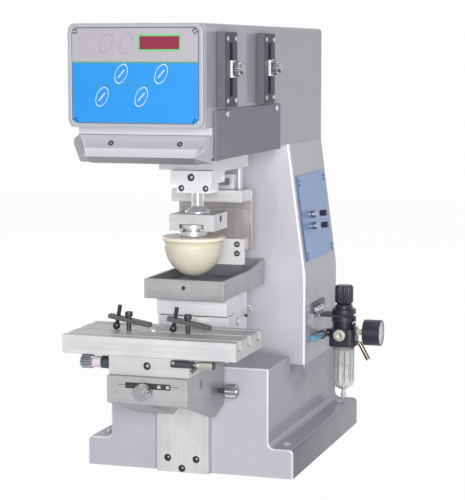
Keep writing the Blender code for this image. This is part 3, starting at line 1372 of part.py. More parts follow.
def build_knee(body):
    outline = rounded_outline([
        (KNEE_FRONT, KNEE_TOP, 0),
        (KNEE_FRONT, KNEE_FACE_BOTTOM, 0),
        (KNEE_TOE_Y, KNEE_TOE_Z, KNEE_TOE_RADIUS),
        (KNEE_REAR, KNEE_HEEL_Z, 0),
        (KNEE_REAR, KNEE_TOP, 0),
    ])
    bm = bmesh.new()
    prism(bm, outline, "X", KNEE_LEFT, KNEE_RIGHT)
    knee = solid("knee", bm, MACHINED, body)
    left, right = guide_edges()
    channel = bmesh.new()
    box(channel, left - GAP, right + GAP, GUIDE_FRONT - GAP, KNEE_REAR + CUT, KNEE_TOE_Z - CUT, KNEE_TOP + CUT)
    carve(knee, channel)
    groove = bmesh.new()
    half = KNEE_GROOVE_WIDTH / 2
    box(groove, -half, half, KNEE_GROOVE_FRONT, KNEE_REAR + CUT, KNEE_TOP - KNEE_GROOVE_DEPTH, KNEE_TOP + CUT)
    carve(knee, groove)
    pocket = bmesh.new()
    box(pocket, KNEE_POCKET_LEFT, KNEE_POCKET_RIGHT, KNEE_FRONT - CUT, KNEE_FRONT + KNEE_POCKET_DEPTH,
        KNEE_POCKET_LOW, KNEE_POCKET_HIGH)
    carve(knee, pocket)
    notch = bmesh.new()
    box(notch, KNEE_NOTCH_LEFT, KNEE_NOTCH_RIGHT, KNEE_NOTCH_FRONT, KNEE_REAR + CUT, KNEE_TOE_Z - CUT,
        KNEE_NOTCH_TOP)
    carve(knee, notch)

    place = (SCREW_LINE_X, KNEE_FRONT - GAP, Y_KNOB_Z)
    bm = bmesh.new()
    round_bar(bm, place, (0, -1, 0), Y_STEM_SIZE, Y_STEM_LENGTH)
    knob = solid("y_feed_knob", bm, STEEL, pivot("body_y_knob", place, body))
    head = bmesh.new()
    start = (SCREW_LINE_X, KNEE_FRONT - Y_STEM_LENGTH, Y_KNOB_Z)
    knurled_knob(head, start, (0, -1, 0), Y_KNOB_SIZE, Y_KNOB_LENGTH, 16)
    weld(knob, head)

    place = (KNEE_RIGHT + GAP, Z_KNOB_Y, Z_KNOB_Z)
    bm = bmesh.new()
    round_bar(bm, place, (1, 0, 0), Z_STEM_SIZE, Z_STEM_LENGTH)
    knob = solid("z_feed_knob", bm, STEEL, pivot("body_z_knob", place, body))
    head = bmesh.new()
    start = (KNEE_RIGHT + Z_STEM_LENGTH, Z_KNOB_Y, Z_KNOB_Z)
    knurled_knob(head, start, (1, 0, 0), Z_KNOB_SIZE, Z_KNOB_LENGTH)
    weld(knob, head)


def build_cross_slide(body):
    bm = bmesh.new()
    box(bm, KNEE_LEFT, KNEE_RIGHT, CROSS_FRONT, CROSS_REAR, KNEE_TOP + GAP, CROSS_TOP)
    cross = solid("cross_slide", bm, MACHINED, body)
    tongue = bmesh.new()
    half = KNEE_GROOVE_WIDTH / 2 - GAP
    middle = (KNEE_TOP + CROSS_TOP) / 2
    box(tongue, -half, half, TONGUE_FRONT, CROSS_REAR - TONGUE_SETBACK,
        KNEE_TOP - KNEE_GROOVE_DEPTH + GAP, middle)
    weld(cross, tongue)
    hole = bmesh.new()
    seat = (SCREW_LINE_X, CROSS_FRONT + SCREW_SINK + M6_SIZES[1], CROSS_SCREW_Z)
    counterbore(hole, seat, (0, -1, 0), M6_SIZES, CUT)
    carve(cross, hole)

    start = GAP - KNEE_LEFT
    place = (-start, X_KNOB_Y, X_KNOB_Z)
    ring = X_RING_SIZE / 2
    collar = X_COLLAR_SIZE / 2
    profile = [(0, 0), (ring, 0), (ring, X_RING_END - start), (collar, X_RING_END - start)]
    profile += [(collar, X_COLLAR_END - start), (0, X_COLLAR_END - start)]
    bm = bmesh.new()
    turned(bm, profile, place, (-1, 0, 0))
    knob = solid("x_feed_knob", bm, STEEL, pivot("body_x_knob", place, body))
    head = bmesh.new()
    overlap = X_COLLAR_END - KNOB_EDGE
    knurled_knob(head, (-overlap, X_KNOB_Y, X_KNOB_Z), (-1, 0, 0), X_KNOB_SIZE, X_KNOB_END - overlap)
    weld(knob, head)

    radius = LOCK_SLEEVE_SIZE / 2
    lock_y = CROSS_FRONT - GAP - radius
    place = (LOCK_LEFT, lock_y, LOCK_Z)
    thick, neck = LOCK_BODY_SIZE / 2, LOCK_NECK_SIZE / 2
    first, second = LOCK_BODY_END - LOCK_LEFT, LOCK_NECK_END - LOCK_LEFT
    length = LOCK_END - LOCK_LEFT
    profile = [(0, 0), (thick, 0), (thick, first), (neck, first), (neck, second), (radius, second)]
    profile += [(radius, length), (0, length)]
    bm = bmesh.new()
    turned(bm, profile, place, (1, 0, 0), 12)
    lock = solid("slide_lock", bm, BRASS, pivot("body_slide_lock", place, body))
    handle = bmesh.new()
    down = Vector(LOCK_HANDLE_AIM).normalized()
    round_bar(handle, (LOCK_HANDLE_X, lock_y, LOCK_Z), down, LOCK_HANDLE_SIZE, LOCK_HANDLE_LENGTH, 8)
    weld(lock, handle)


def build_table(body):
    wide = TABLE_WIDTH / 2
    rear = TABLE_FRONT + TABLE_DEPTH
    corners = [(TABLE_FRONT, TABLE_BOTTOM), (rear, TABLE_BOTTOM), (rear, TABLE_TOP)]
    throat, foot = SLOT_THROAT / 2, SLOT_FOOT / 2
    lip, floor = TABLE_TOP - SLOT_LIP, TABLE_TOP - SLOT_DEPTH
    for centre in reversed(SLOT_CENTRES):
        corners += [(centre + throat, TABLE_TOP), (centre + throat, lip), (centre + foot, lip)]
        corners += [(centre + foot, floor), (centre - foot, floor), (centre - foot, lip)]
        corners += [(centre - throat, lip), (centre - throat, TABLE_TOP)]
    corners.append((TABLE_FRONT, TABLE_TOP))
    bm = bmesh.new()
    prism(bm, rounded_outline(plain(corners)), "X", -wide, wide)
    solid("work_table", bm, MACHINED, body)

    raised = TABLE_TOP + CLAMP_BAR_RAISE
    middle_y = SLOT_CENTRES[1]
    heel = -CLAMP_BAR_LENGTH * CLAMP_BAR_HEEL_SHARE
    half, thick = CLAMP_BAR_WIDTH / 2, CLAMP_BAR_THICKNESS / 2
    base = floor + GAP
    neck = lip - GAP - base
    under = raised + CLAMP_HEAD_LIFT - base
    top = under + CLAMP_BOLT_HEAD_HEIGHT
    shank, head, nut = CLAMP_BOLT_SHANK / 2, CLAMP_BOLT_HEAD / 2, CLAMP_NUT_SIZE / 2
    socket = head * SOCKET_SHARE
    dent = top - CLAMP_BOLT_HEAD_HEIGHT * SOCKET_DEPTH_SHARE
    profile = [(0, 0), (nut, 0), (nut, neck), (shank, neck), (shank, under), (head, under), (head, top)]
    profile += [(socket, top), (socket, dent), (0, dent)]
    for name, bolt_x, jack in zip(("left", "right"), CLAMP_BOLTS_X, CLAMP_JACK_OFFSETS):
        bm = bmesh.new()
        verts = box(bm, heel, heel + CLAMP_BAR_LENGTH, -half, half, -thick, thick)
        place = Matrix.Translation((bolt_x, middle_y, raised))
        place = place @ Matrix.Rotation(math.radians(CLAMP_BAR_TILT), 4, "Y")
        bmesh.ops.transform(bm, matrix=place, verts=verts)
        bar = solid(f"clamp_bar_{name}", bm, BLACK_STEEL, body)
        holes = bmesh.new()
        round_bar(holes, (bolt_x, middle_y, TABLE_TOP), (0, 0, 1), CLAMP_HOLE_SIZE, CLAMP_HOLE_LENGTH, 12)
        square = place.to_3x3() @ Vector((0, 0, 1))
        start = place @ Vector((-jack, 0, -CLAMP_BAR_THICKNESS))
        round_bar(holes, start, square, CLAMP_JACK_HOLE, 2 * CLAMP_BAR_THICKNESS, 12)
        carve(bar, holes)
        bm = bmesh.new()
        turned(bm, profile, (bolt_x, middle_y, base), (0, 0, 1), 12)
        solid(f"clamp_bolt_{name}", bm, BLACK_STEEL, body)


def build_valves():
    normal = flare_normal()
    low = Vector((flare_x(VALVE_PLATE_LOW), 0, VALVE_PLATE_LOW)) + normal * GAP
    high = Vector((flare_x(VALVE_PLATE_HIGH), 0, VALVE_PLATE_HIGH)) + normal * GAP
    lift = normal * VALVE_PLATE_THICKNESS
    outline = [(point.x, point.z) for point in (low, low + lift, high + lift, high)]
    bm = bmesh.new()
    prism(bm, outline, "Y", VALVE_PLATE_FRONT, VALVE_PLATE_REAR)
    solid("valve_plate", bm, BLUE_METAL)

    raise_by = 2 * GAP + VALVE_PLATE_THICKNESS
    for name, height in zip(("upper", "lower"), THROTTLE_HEIGHTS):
        foot = Vector((flare_x(height), THROTTLE_Y, height)) + normal * raise_by
        valve = bmesh.new()
        round_bar(valve, foot, normal, THROTTLE_SIZE, THROTTLE_LENGTH, 6)
        solid(f"throttle_body_{name}", valve, STEEL)
        base = foot + normal * (THROTTLE_LENGTH + GAP)
        knob = bmesh.new()
        knurled_knob(knob, base, normal, THROTTLE_KNOB_SIZE, THROTTLE_KNOB_LENGTH, 10, THROTTLE_KNOB_SIZE / 10)
        spin = pivot(f"body_throttle_{name}", tuple(base))
        solid(f"throttle_knob_{name}", knob, BLACK_PLASTIC, spin)


def build_regulator():
    side = BLOCK_WIDTH / 2 + GAP
    ring_top = REG_RING_TOP
    shelf_top = ring_top + GAP + BRACKET_THICKNESS
    outer = REG_X + BRACKET_SHELF_END
    inner = side + BRACKET_THICKNESS
    under = ring_top + GAP
    angle = plain([
        (side, under),
        (outer, under),
        (outer, shelf_top),
        (inner, shelf_top),
        (inner, BRACKET_LEG_TOP),
        (side, BRACKET_LEG_TOP),
    ])
    bm = bmesh.new()
    prism(bm, rounded_outline(angle), "Y", BRACKET_FRONT, BRACKET_REAR)
    bracket = solid("regulator_bracket", bm, BLACK_METAL)
    corner = bmesh.new()
    box(corner, inner, outer + CUT, BRACKET_FRONT - CUT, BRACKET_SHELF_FRONT, under - CUT, BRACKET_LEG_TOP + CUT)
    carve(bracket, corner)
    corners = bmesh.new()
    for edge, sign in ((BRACKET_SHELF_FRONT, 1), (BRACKET_REAR, -1)):
        triangle = plain([
            (outer - BRACKET_CORNER_ALONG, edge - sign * CUT),
            (outer + CUT, edge - sign * CUT),
            (outer + CUT, edge + sign * BRACKET_CORNER_ACROSS),
            (outer, edge + sign * BRACKET_CORNER_ACROSS),
            (outer - BRACKET_CORNER_ALONG, edge),
        ])
        prism(corners, rounded_outline(triangle), "Z", under - CUT, shelf_top + CUT)
    carve(bracket, corners)
    hole = bmesh.new()
    size = REG_NECK_SIZE + 2 * BRACKET_HOLE_CLEARANCE
    round_bar(hole, (REG_X, REG_Y, ring_top - CUT), (0, 0, 1), size, BRACKET_THICKNESS + 2 * CUT)
    carve(bracket, hole)

    half = REG_WIDTH / 2
    bm = bmesh.new()
    corners = rectangle(REG_X - half, REG_X + half, REG_Y - half, REG_Y + half, REG_CORNER)
    prism(bm, rounded_outline(corners), "Z", REG_BOTTOM, REG_TOP)
    body = solid("regulator_body", bm, BLACK_PLASTIC)
    bonnet = bmesh.new()
    low = REG_TOP - REG_CORNER
    ring, neck = REG_RING_SIZE / 2, REG_NECK_SIZE / 2
    waist, collar, shoulder = REG_WAIST_SIZE / 2, REG_COLLAR_SIZE / 2, REG_SHOULDER_SIZE / 2
    collar_low = shelf_top + GAP
    profile = [(0, low), (waist, low), (waist, REG_RING_LOW), (ring, REG_RING_LOW), (ring, ring_top)]
    profile += [(neck, ring_top), (neck, collar_low), (collar, collar_low), (collar, REG_COLLAR_TOP)]
    profile += [(shoulder, REG_COLLAR_TOP), (shoulder, REG_SHOULDER_TOP), (neck, REG_SHOULDER_TOP)]
    profile += [(neck, REG_NECK_TOP), (0, REG_NECK_TOP)]
    turned(bonnet, profile, (REG_X, REG_Y, 0), (0, 0, 1), 24)
    weld(body, bonnet)
    plug = bmesh.new()
    length = REG_PLUG_LENGTH + REG_CORNER
    round_bar(plug, (REG_X, REG_Y - half + REG_CORNER, REG_PLUG_Z), (0, -1, 0), REG_PLUG_SIZE, length)
    weld(body, plug)

    knob = bmesh.new()
    base = REG_NECK_TOP + GAP
    knurled_knob(knob, (REG_X, REG_Y, base), (0, 0, 1), REG_KNOB_SIZE, REG_KNOB_TOP - base, 16, REG_KNOB_EDGE)
    solid("regulator_knob", knob, BLACK_PLASTIC, pivot("body_regulator_knob", (REG_X, REG_Y, base)))

    bowl = bmesh.new()
    radius, skin = BOWL_SIZE / 2, BOWL_SIZE / 2 - BOWL_WALL
    top = REG_BOTTOM - GAP
    low = BOWL_BOTTOM + BOWL_ROUND
    outside, inside = [], []
    for step in range(ARC_STEPS + 1):
        angle = math.pi / 2 * step / ARC_STEPS
        outside.append((radius * math.sin(angle), low - BOWL_ROUND * math.cos(angle)))
        inside.append((skin * math.sin(angle), low - (BOWL_ROUND - BOWL_WALL) * math.cos(angle)))
    profile = outside + [(radius, top), (skin, top)] + inside[::-1]
    turned(bowl, profile, (REG_X, REG_Y, 0), (0, 0, 1), 24)
    solid("filter_bowl", bowl, CLEAR_PLASTIC)

    drain = bmesh.new()
    start = BOWL_BOTTOM - GAP
    round_bar(drain, (REG_X, REG_Y, start), (0, 0, -1), DRAIN_SIZE, start - DRAIN_BOTTOM, 8)
    solid("drain_cock", drain, BLACK_PLASTIC, pivot("body_drain", (REG_X, REG_Y, start)))


def build_gauge():
    start = REG_X + REG_WIDTH / 2 + GAP
    nipple, case = GAUGE_NIPPLE_SIZE / 2, GAUGE_SIZE / 2
    length = GAUGE_NIPPLE_LENGTH + GAUGE_LENGTH
    dish = length - GAUGE_DISH
    bore = case - GAUGE_RIM
    profile = [(0, 0), (nipple, 0), (nipple, GAUGE_NIPPLE_LENGTH), (case, GAUGE_NIPPLE_LENGTH), (case, length)]
    profile += [(bore, length), (bore, dish), (0, dish)]
    bm = bmesh.new()
    turned(bm, profile, (start, REG_Y, GAUGE_Z), (1, 0, 0), 24)
    solid("gauge_body", bm, BLACK_PLASTIC)

    face = start + dish + GAP
    place = (face, REG_Y, GAUGE_Z)
    bm = bmesh.new()
    angle = math.radians(NEEDLE_REST_ANGLE)
    half = NEEDLE_WIDTH / 2
    verts = box(bm, 0, NEEDLE_THICKNESS, -half, half, -NEEDLE_HUB_SIZE, NEEDLE_LENGTH)
    matrix = Matrix.Translation(place) @ Matrix.Rotation(angle, 4, "X")
    bmesh.ops.transform(bm, matrix=matrix, verts=verts)
    needle = solid("gauge_needle", bm, BLACK_METAL, pivot("body_gauge_needle", place))
    hub = bmesh.new()
    round_bar(hub, place, (1, 0, 0), NEEDLE_HUB_SIZE, 2 * NEEDLE_THICKNESS, 10)
    weld(needle, hub)


def build_air_line():
    half = REG_WIDTH / 2
    bm = bmesh.new()
    elbow = ELBOW_SIZE / 2
    port = (REG_X - half - GAP, REG_Y, PORT_Z)
    turn = (ELBOW_X, REG_Y, PORT_Z)
    mouth = (ELBOW_X, REG_Y - ELBOW_LENGTH, PORT_Z)
    swept(bm, [port, turn, mouth], [elbow] * 3, 12)
    solid("elbow_fitting", bm, BLACK_PLASTIC)

    right = REG_X + half + GAP
    bend = right + BARB_REACH
    path = [
        (right, REG_Y, BARB_PORT_Z),
        (bend, REG_Y, BARB_PORT_Z),
        (bend + BARB_ACROSS, REG_Y, BARB_PORT_Z - BARB_DROP),
    ]
    bm = bmesh.new()
    swept(bm, path, [BARB_PORT_SIZE / 2, BARB_PORT_SIZE / 2, BARB_SIZE / 2], 12)
    solid("hose_barb", bm, BRASS)


def build_valve_bank():
    half = BANK_WIDTH / 2
    top = BANK_BOTTOM + BANK_BASE_HEIGHT
    coil_top = top + BANK_COIL_HEIGHT
    pitch = BANK_WIDTH / BANK_COILS
    corners = [(-half, BANK_BOTTOM), (half, BANK_BOTTOM), (half, top)]
    for coil in reversed(range(BANK_COILS)):
        middle = -half + pitch * (coil + 0.5)
        left, right = middle - BANK_COIL_WIDTH / 2, middle + BANK_COIL_WIDTH / 2
        corners += [(right, top), (right, coil_top), (left, coil_top), (left, top)]
    corners.append((-half, top))
    bm = bmesh.new()
    front = COLUMN_FRONT + COLUMN_WALL + GAP
    prism(bm, rounded_outline(plain(corners)), "Y", front, front + BANK_DEPTH)
    solid("valve_bank", bm, BLACK_PLASTIC)


def main():
    build_base()
    build_column()
    build_head()
    build_rear_cover()
    build_panel()
    build_guard()
    build_side_cover()
    build_rails()
    build_rods_and_cylinder()
    carriage = pivot("body_carriage", (0, PLATE_REAR, ROD_HEIGHT))
    build_carriage(carriage)
    build_cross_bar(carriage)
    build_blade(pivot("body_blade", (0, BAR_REAR, ARM_TOP), carriage))
    build_ram(pivot("body_ram", (0, RAM_Y, COLLAR_BOTTOM), carriage))
    build_tray()
    build_guide_plate()
    knee = pivot("body_knee", (0, KNEE_REAR, KNEE_TOP))
    build_knee(knee)
    cross = pivot("body_cross", (0, CROSS_FRONT, KNEE_TOP), knee)
    build_cross_slide(cross)
    build_table(pivot("body_table", (0, TABLE_FRONT, TABLE_BOTTOM), cross))
    build_valves()
    build_regulator()
    build_gauge()
    build_air_line()
    build_valve_bank()


clear_scene()
main()
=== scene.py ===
"""Looks of a bench pad printing machine: finishes, softened edges, screws, printed panel and fittings."""

import json
import math

import bmesh
import bpy
from mathutils import Matrix, Vector

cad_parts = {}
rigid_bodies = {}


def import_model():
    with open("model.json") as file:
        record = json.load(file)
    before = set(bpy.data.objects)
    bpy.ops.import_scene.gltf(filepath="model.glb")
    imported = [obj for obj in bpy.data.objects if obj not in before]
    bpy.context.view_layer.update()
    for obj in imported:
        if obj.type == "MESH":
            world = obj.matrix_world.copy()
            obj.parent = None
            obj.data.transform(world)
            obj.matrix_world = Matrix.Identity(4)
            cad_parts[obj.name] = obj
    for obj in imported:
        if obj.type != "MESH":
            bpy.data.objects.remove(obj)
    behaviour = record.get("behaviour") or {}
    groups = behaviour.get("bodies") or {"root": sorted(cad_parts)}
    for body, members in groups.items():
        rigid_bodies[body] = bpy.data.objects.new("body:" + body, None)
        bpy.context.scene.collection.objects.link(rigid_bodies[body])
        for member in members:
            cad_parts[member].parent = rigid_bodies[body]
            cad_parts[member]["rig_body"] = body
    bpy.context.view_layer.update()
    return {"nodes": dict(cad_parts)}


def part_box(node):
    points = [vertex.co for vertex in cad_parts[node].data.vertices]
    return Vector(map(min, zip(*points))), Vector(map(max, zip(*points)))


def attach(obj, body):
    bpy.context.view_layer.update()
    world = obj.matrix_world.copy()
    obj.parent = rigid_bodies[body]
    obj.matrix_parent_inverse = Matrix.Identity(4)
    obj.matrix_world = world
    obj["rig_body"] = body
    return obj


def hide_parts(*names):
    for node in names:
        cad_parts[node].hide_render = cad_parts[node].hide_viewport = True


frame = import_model()
NODES = frame["nodes"]

# How far a detail stands in or off the face that carries it
SEAT = 0.0001
# Height of the joint between the base and the column
COLUMN_SEAT = 0.118
# Points closer than this are one
MERGE = 0.000005
# Head and height of the larger socket screws, and how deep they are seated
M6_HEAD = (0.0098, 0.0055)
M6_SINK = 0.0063
# Axes of the pad, the stroke stops and the filter regulator
PAD_Y = -0.140
STOP_Z = 0.539
AIR_X, AIR_Y = 0.1475, 0.085

# Stretches of a finish whose lines run along one axis
ALONG_X, ALONG_Y, ALONG_Z = (0.05, 2.0, 2.0), (2.0, 0.05, 2.0), (2.0, 2.0, 0.05)

RIGHT, LEFT = (1, 0, 0), (-1, 0, 0)
FRONT, BACK = (0, -1, 0), (0, 1, 0)
UP, DOWN = (0, 0, 1), (0, 0, -1)


class Value:
    """One socket's value in a node tree, which takes ordinary operators."""

    def __init__(self, nodes, socket):
        self.nodes = nodes
        self.socket = socket

    def maths(self, operation, *others):
        inputs = dict(enumerate((self, *others)))
        return self.nodes.node("ShaderNodeMath", inputs, {"operation": operation})

    def __add__(self, other):
        return self.maths("ADD", other)

    __radd__ = __add__

    def __mul__(self, other):
        return self.maths("MULTIPLY", other)

    __rmul__ = __mul__

    def __neg__(self):
        return self * -1

    def __sub__(self, other):
        return self + (-other)

    def __rsub__(self, other):
        return -self + other

    def __truediv__(self, other):
        return self.maths("DIVIDE", other)

    def __abs__(self):
        return self.maths("ABSOLUTE")

    def __pow__(self, other):
        return self.maths("POWER", other)

    def __or__(self, other):
        return self.maths("MAXIMUM", other)

    def __lt__(self, other):
        return self.maths("LESS_THAN", other)

    def __gt__(self, other):
        return self.maths("GREATER_THAN", other)


class Nodes:
    """The node tree of a material or of the world."""

    def __init__(self, owner):
        owner.use_nodes = True
        self.tree = owner.node_tree

    def node(self, kind, inputs, settings=None, output=0):
        """Add a node with its settings first, then its sockets' values or links."""
        node = self.tree.nodes.new(kind)
        for name, value in (settings or {}).items():
            setattr(node, name, value)
        for key, value in inputs.items():
            if isinstance(value, Value):
                self.tree.links.new(value.socket, node.inputs[key])
            else:
                node.inputs[key].default_value = value
        return Value(self, node.outputs[output])

    def blend(self, share, first, second, end):
        """Mix two shaders into the last node."""
        mixed = self.node("ShaderNodeMixShader", {0: share, 1: Value(self, first.outputs[0]), 2: second})
        self.tree.links.new(mixed.socket, self.tree.nodes[end].inputs[0])


class Finish(Nodes):
    """A material, the record's slot that it belongs to, and its shader."""

    def __init__(self, name, slot, colour, roughness, metallic=0.0, **constants):
        self.slot = slot
        self.material = bpy.data.materials.new(name)
        super().__init__(self.material)
        self.shader = self.tree.nodes["Principled BSDF"]
        self.set("Base Color", (*colour, 1.0))
        self.set("Roughness", roughness)
        self.set("Metallic", metallic)
        for socket, value in constants.items():
            self.set(socket.replace("_", " ").title().replace("Ior", "IOR"), value)

    def set(self, socket, value):
        if isinstance(value, Value):
            self.tree.links.new(value.socket, self.shader.inputs[socket])
        else:
            self.shader.inputs[socket].default_value = value

    def place(self, scale=(1, 1, 1)):
        """Object coordinates, with a scale for each axis."""
        spot = self.node("ShaderNodeTexCoord", {}, output=3)
        return self.node("ShaderNodeMapping", {"Vector": spot, "Scale": scale})

    def axes(self):
        spot = self.place()
        return [self.node("ShaderNodeSeparateXYZ", {0: spot}, output=index) for index in range(3)]

    def noise(self, scale, detail=2.0, stretch=(1, 1, 1)):
        inputs = {"Vector": self.place(stretch), "Scale": scale, "Detail": detail}
        return self.node("ShaderNodeTexNoise", inputs)

    def mix(self, share, first, second):
        colours = {0: share, 6: first, 7: second}
        for key in (6, 7):
            if not isinstance(colours[key], Value):
                colours[key] = (*colours[key], 1.0)
        return self.node("ShaderNodeMix", colours, {"data_type": "RGBA"}, output=2)

    def relief(self, height, strength, distance):
        inputs = {"Height": height, "Strength": strength, "Distance": distance}
        self.set("Normal", self.node("ShaderNodeBump", inputs))


def cast_paint(name, slot, light, shade, coat=0.6, front=None, side=None):
    """Silver paint with clouds and orange peel; the front gets a painted highlight along its edges, and the
    side gets painted shade that deepens towards the front.
    """
    finish = Finish(name, slot, light, 0.45, 0.15, specular_ior_level=0.0, coat_weight=coat,
                    coat_roughness=0.09)
    cloud = finish.noise(14, 3)
    grain = finish.noise(700, 2)
    across, along, _ = finish.axes()
    colour = finish.mix(cloud, shade, light)
    if side is not None:
        # Painted shade: the side face darkens towards the front.
        painted_side_shade = ((0.20 - along) * 2.3).maths("MINIMUM", 0.86) | 0
        painted_side_shade = painted_side_shade * (across > side - 0.0030) * (along > front + 0.0026)
        colour = finish.mix(painted_side_shade, colour, (0.16, 0.155, 0.185))
    if front is not None:
        # Painted highlight: a pale band along the edges of the front face.
        painted_edge_highlight = within(along, front + 0.0002, front + 0.0019) * 0.65
        colour = finish.mix(painted_edge_highlight, colour, (0.96, 0.96, 0.98))
    finish.set("Base Color", colour)
    finish.set("Roughness", grain * 0.16 + 0.36)
    finish.relief(grain, 0.10, 0.0003)
    return finish


def brushed(name, slot, light, shade, stretch, roughness=0.40, metallic=0.7, shade_edge_before=None):
    """Ground metal with fine lines along the axis of the small stretch; an optional limit along Y gives the
    edge in front of it painted shade.
    """
    finish = Finish(name, slot, light, roughness, metallic)
    lines = finish.noise(110, 3, stretch)
    cloud = finish.noise(34, 3)
    spread = ((lines * 0.5 + cloud * 0.5 - 0.5) * 1.8 + 0.5).maths("MINIMUM", 1) | 0
    colour = finish.mix(spread, shade, light)
    if shade_edge_before is not None:
        # Painted shade on the edge in front of the limit.
        colour = finish.mix(finish.axes()[1] < shade_edge_before, colour, tuple(part * 0.45 for part in shade))
    finish.set("Base Color", colour)
    finish.set("Roughness", lines * 0.16 + (roughness - 0.08))
    finish.relief(lines, 0.07, 0.0001)
    return finish


def moulded(name, slot, colour, roughness, metallic=0.0, depth=0.08):
    """Even colour with a faint grain."""
    finish = Finish(name, slot, colour, roughness, metallic)
    grain = finish.noise(900, 2)
    finish.set("Roughness", grain * 0.12 + (roughness - 0.06))
    finish.relief(grain, depth, 0.0002)
    return finish


def bright(name, slot, light, shade, roughness):
    """Polished or turned metal with a slight drift of tone."""
    finish = Finish(name, slot, light, roughness, 1.0)
    cloud = finish.noise(45, 3)
    finish.set("Base Color", finish.mix(cloud, shade, light))
    finish.set("Roughness", cloud * 0.08 + (roughness - 0.03))
    return finish


def guard_sheet():
    """Satin sheet: a joint line under the strip, a painted highlight on the lip and painted shade on the
    underside.
    """
    satin = (0.60, 0.60, 0.64)
    finish = Finish("satin_guard", ALLOY, satin, 0.42, 0.25)
    lip_low, lip_high, joint_low, joint_high = 0.4331, 0.4428, 0.4584, 0.4593
    up = finish.axes()[2]
    lines = finish.noise(110, 3, ALONG_X)
    face = finish.mix(lines, (0.50, 0.50, 0.54), satin)
    # Painted highlight on the lip.
    colour = finish.mix(within(up, lip_low, lip_high), face, (0.84, 0.84, 0.87))
    # Painted shade below the lip.
    colour = finish.mix(up < lip_low, colour, (0.27, 0.27, 0.30))
    colour = finish.mix(within(up, joint_low, joint_high), colour, (0.16, 0.16, 0.19))
    finish.set("Base Color", colour)
    finish.set("Roughness", lines * 0.16 + 0.34)
    return finish


def bracket_metal():
    """Black bracket whose leg on the column is zinc plated below its screws."""
    black, leg_side, zinc_top = (0.04, 0.04, 0.05), 0.1160, 0.1868
    finish = Finish("bracket_metal", "black_anodised", black, 0.42, 0.3)
    across, _, up = finish.axes()
    grain = finish.noise(300, 2)
    pale = finish.mix(grain, (0.38, 0.375, 0.415), (0.46, 0.45, 0.50))
    leg = finish.mix(up > zinc_top, pale, finish.mix(grain, (0.05, 0.05, 0.06), (0.20, 0.20, 0.23)))
    finish.set("Base Color", finish.mix(across < leg_side, black, leg))
    finish.set("Roughness", grain * 0.16 + 0.34)
    return finish


def rail_metal():
    """Black rail, dark on its face, with painted light down its flanks and painted shade in its slot."""
    finish = Finish("rail_black", "black_anodised", (0.05, 0.05, 0.06), 0.45, 0.0, specular_ior_level=0.12)
    across, along, _ = finish.axes()
    skin, slot_reach = 0.0004, 0.0065
    cloud = finish.noise(240, 3)
    face = finish.mix(cloud, (0.035, 0.035, 0.050), (0.100, 0.100, 0.125))
    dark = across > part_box("stroke_rail_front")[1].x - skin
    # Painted light: the flanks are greyer than the face.
    colour = finish.mix(dark, (0.125, 0.125, 0.148), face)
    for name in ("front", "rear"):
        low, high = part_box(f"stroke_rail_{name}")
        middle = (low.y + high.y) / 2
        # Painted shade inside the slot.
        slot = within(along, middle - slot_reach, middle + slot_reach) * (across < high.x - skin)
        colour = finish.mix(slot, colour, (0.022, 0.022, 0.034))
    finish.set("Base Color", colour)
    finish.set("Roughness", cloud * 0.10 + 0.40)
    return finish


def rubber_pad():
    """Cast silicone: cream bowl with a peach rim and top."""
    finish = Finish("cream_silicone", "silicone", (0.80, 0.74, 0.58), 0.42,
                    subsurface_weight=0.12, subsurface_scale=0.01)
    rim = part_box("silicone_pad")[1].z - 0.0062
    reach = ((finish.axes()[2] - rim) * 500).maths("MINIMUM", 1) | 0
    cloud = finish.noise(60, 3)
    bowl = finish.mix(cloud, (0.66, 0.61, 0.48), (0.74, 0.69, 0.56))
    finish.set("Base Color", finish.mix(reach, bowl, (0.97, 0.82, 0.70)))
    finish.set("Roughness", cloud * 0.10 + 0.36)
    return finish


def within(value, low, high):
    """1 between two limits and 0 elsewhere."""
    return (value > low) * (value < high)


def union(masks):
    """1 where any of the masks is."""
    whole = masks[0]
    for mask in masks[1:]:
        whole = whole | mask
    return whole


def keys_mask(across, up, places, thickness):
    """Rings of slanted oval keys, 1 on the line."""
    rings = []
    for key_x, key_z in places:
        rise = up - key_z
        lean = (across - key_x) - rise * 0.30
        spread = (lean / 0.0078) ** 2 + (rise / 0.0118) ** 2
        rings.append(within(spread, 1 - thickness, 1))
    return union(rings)


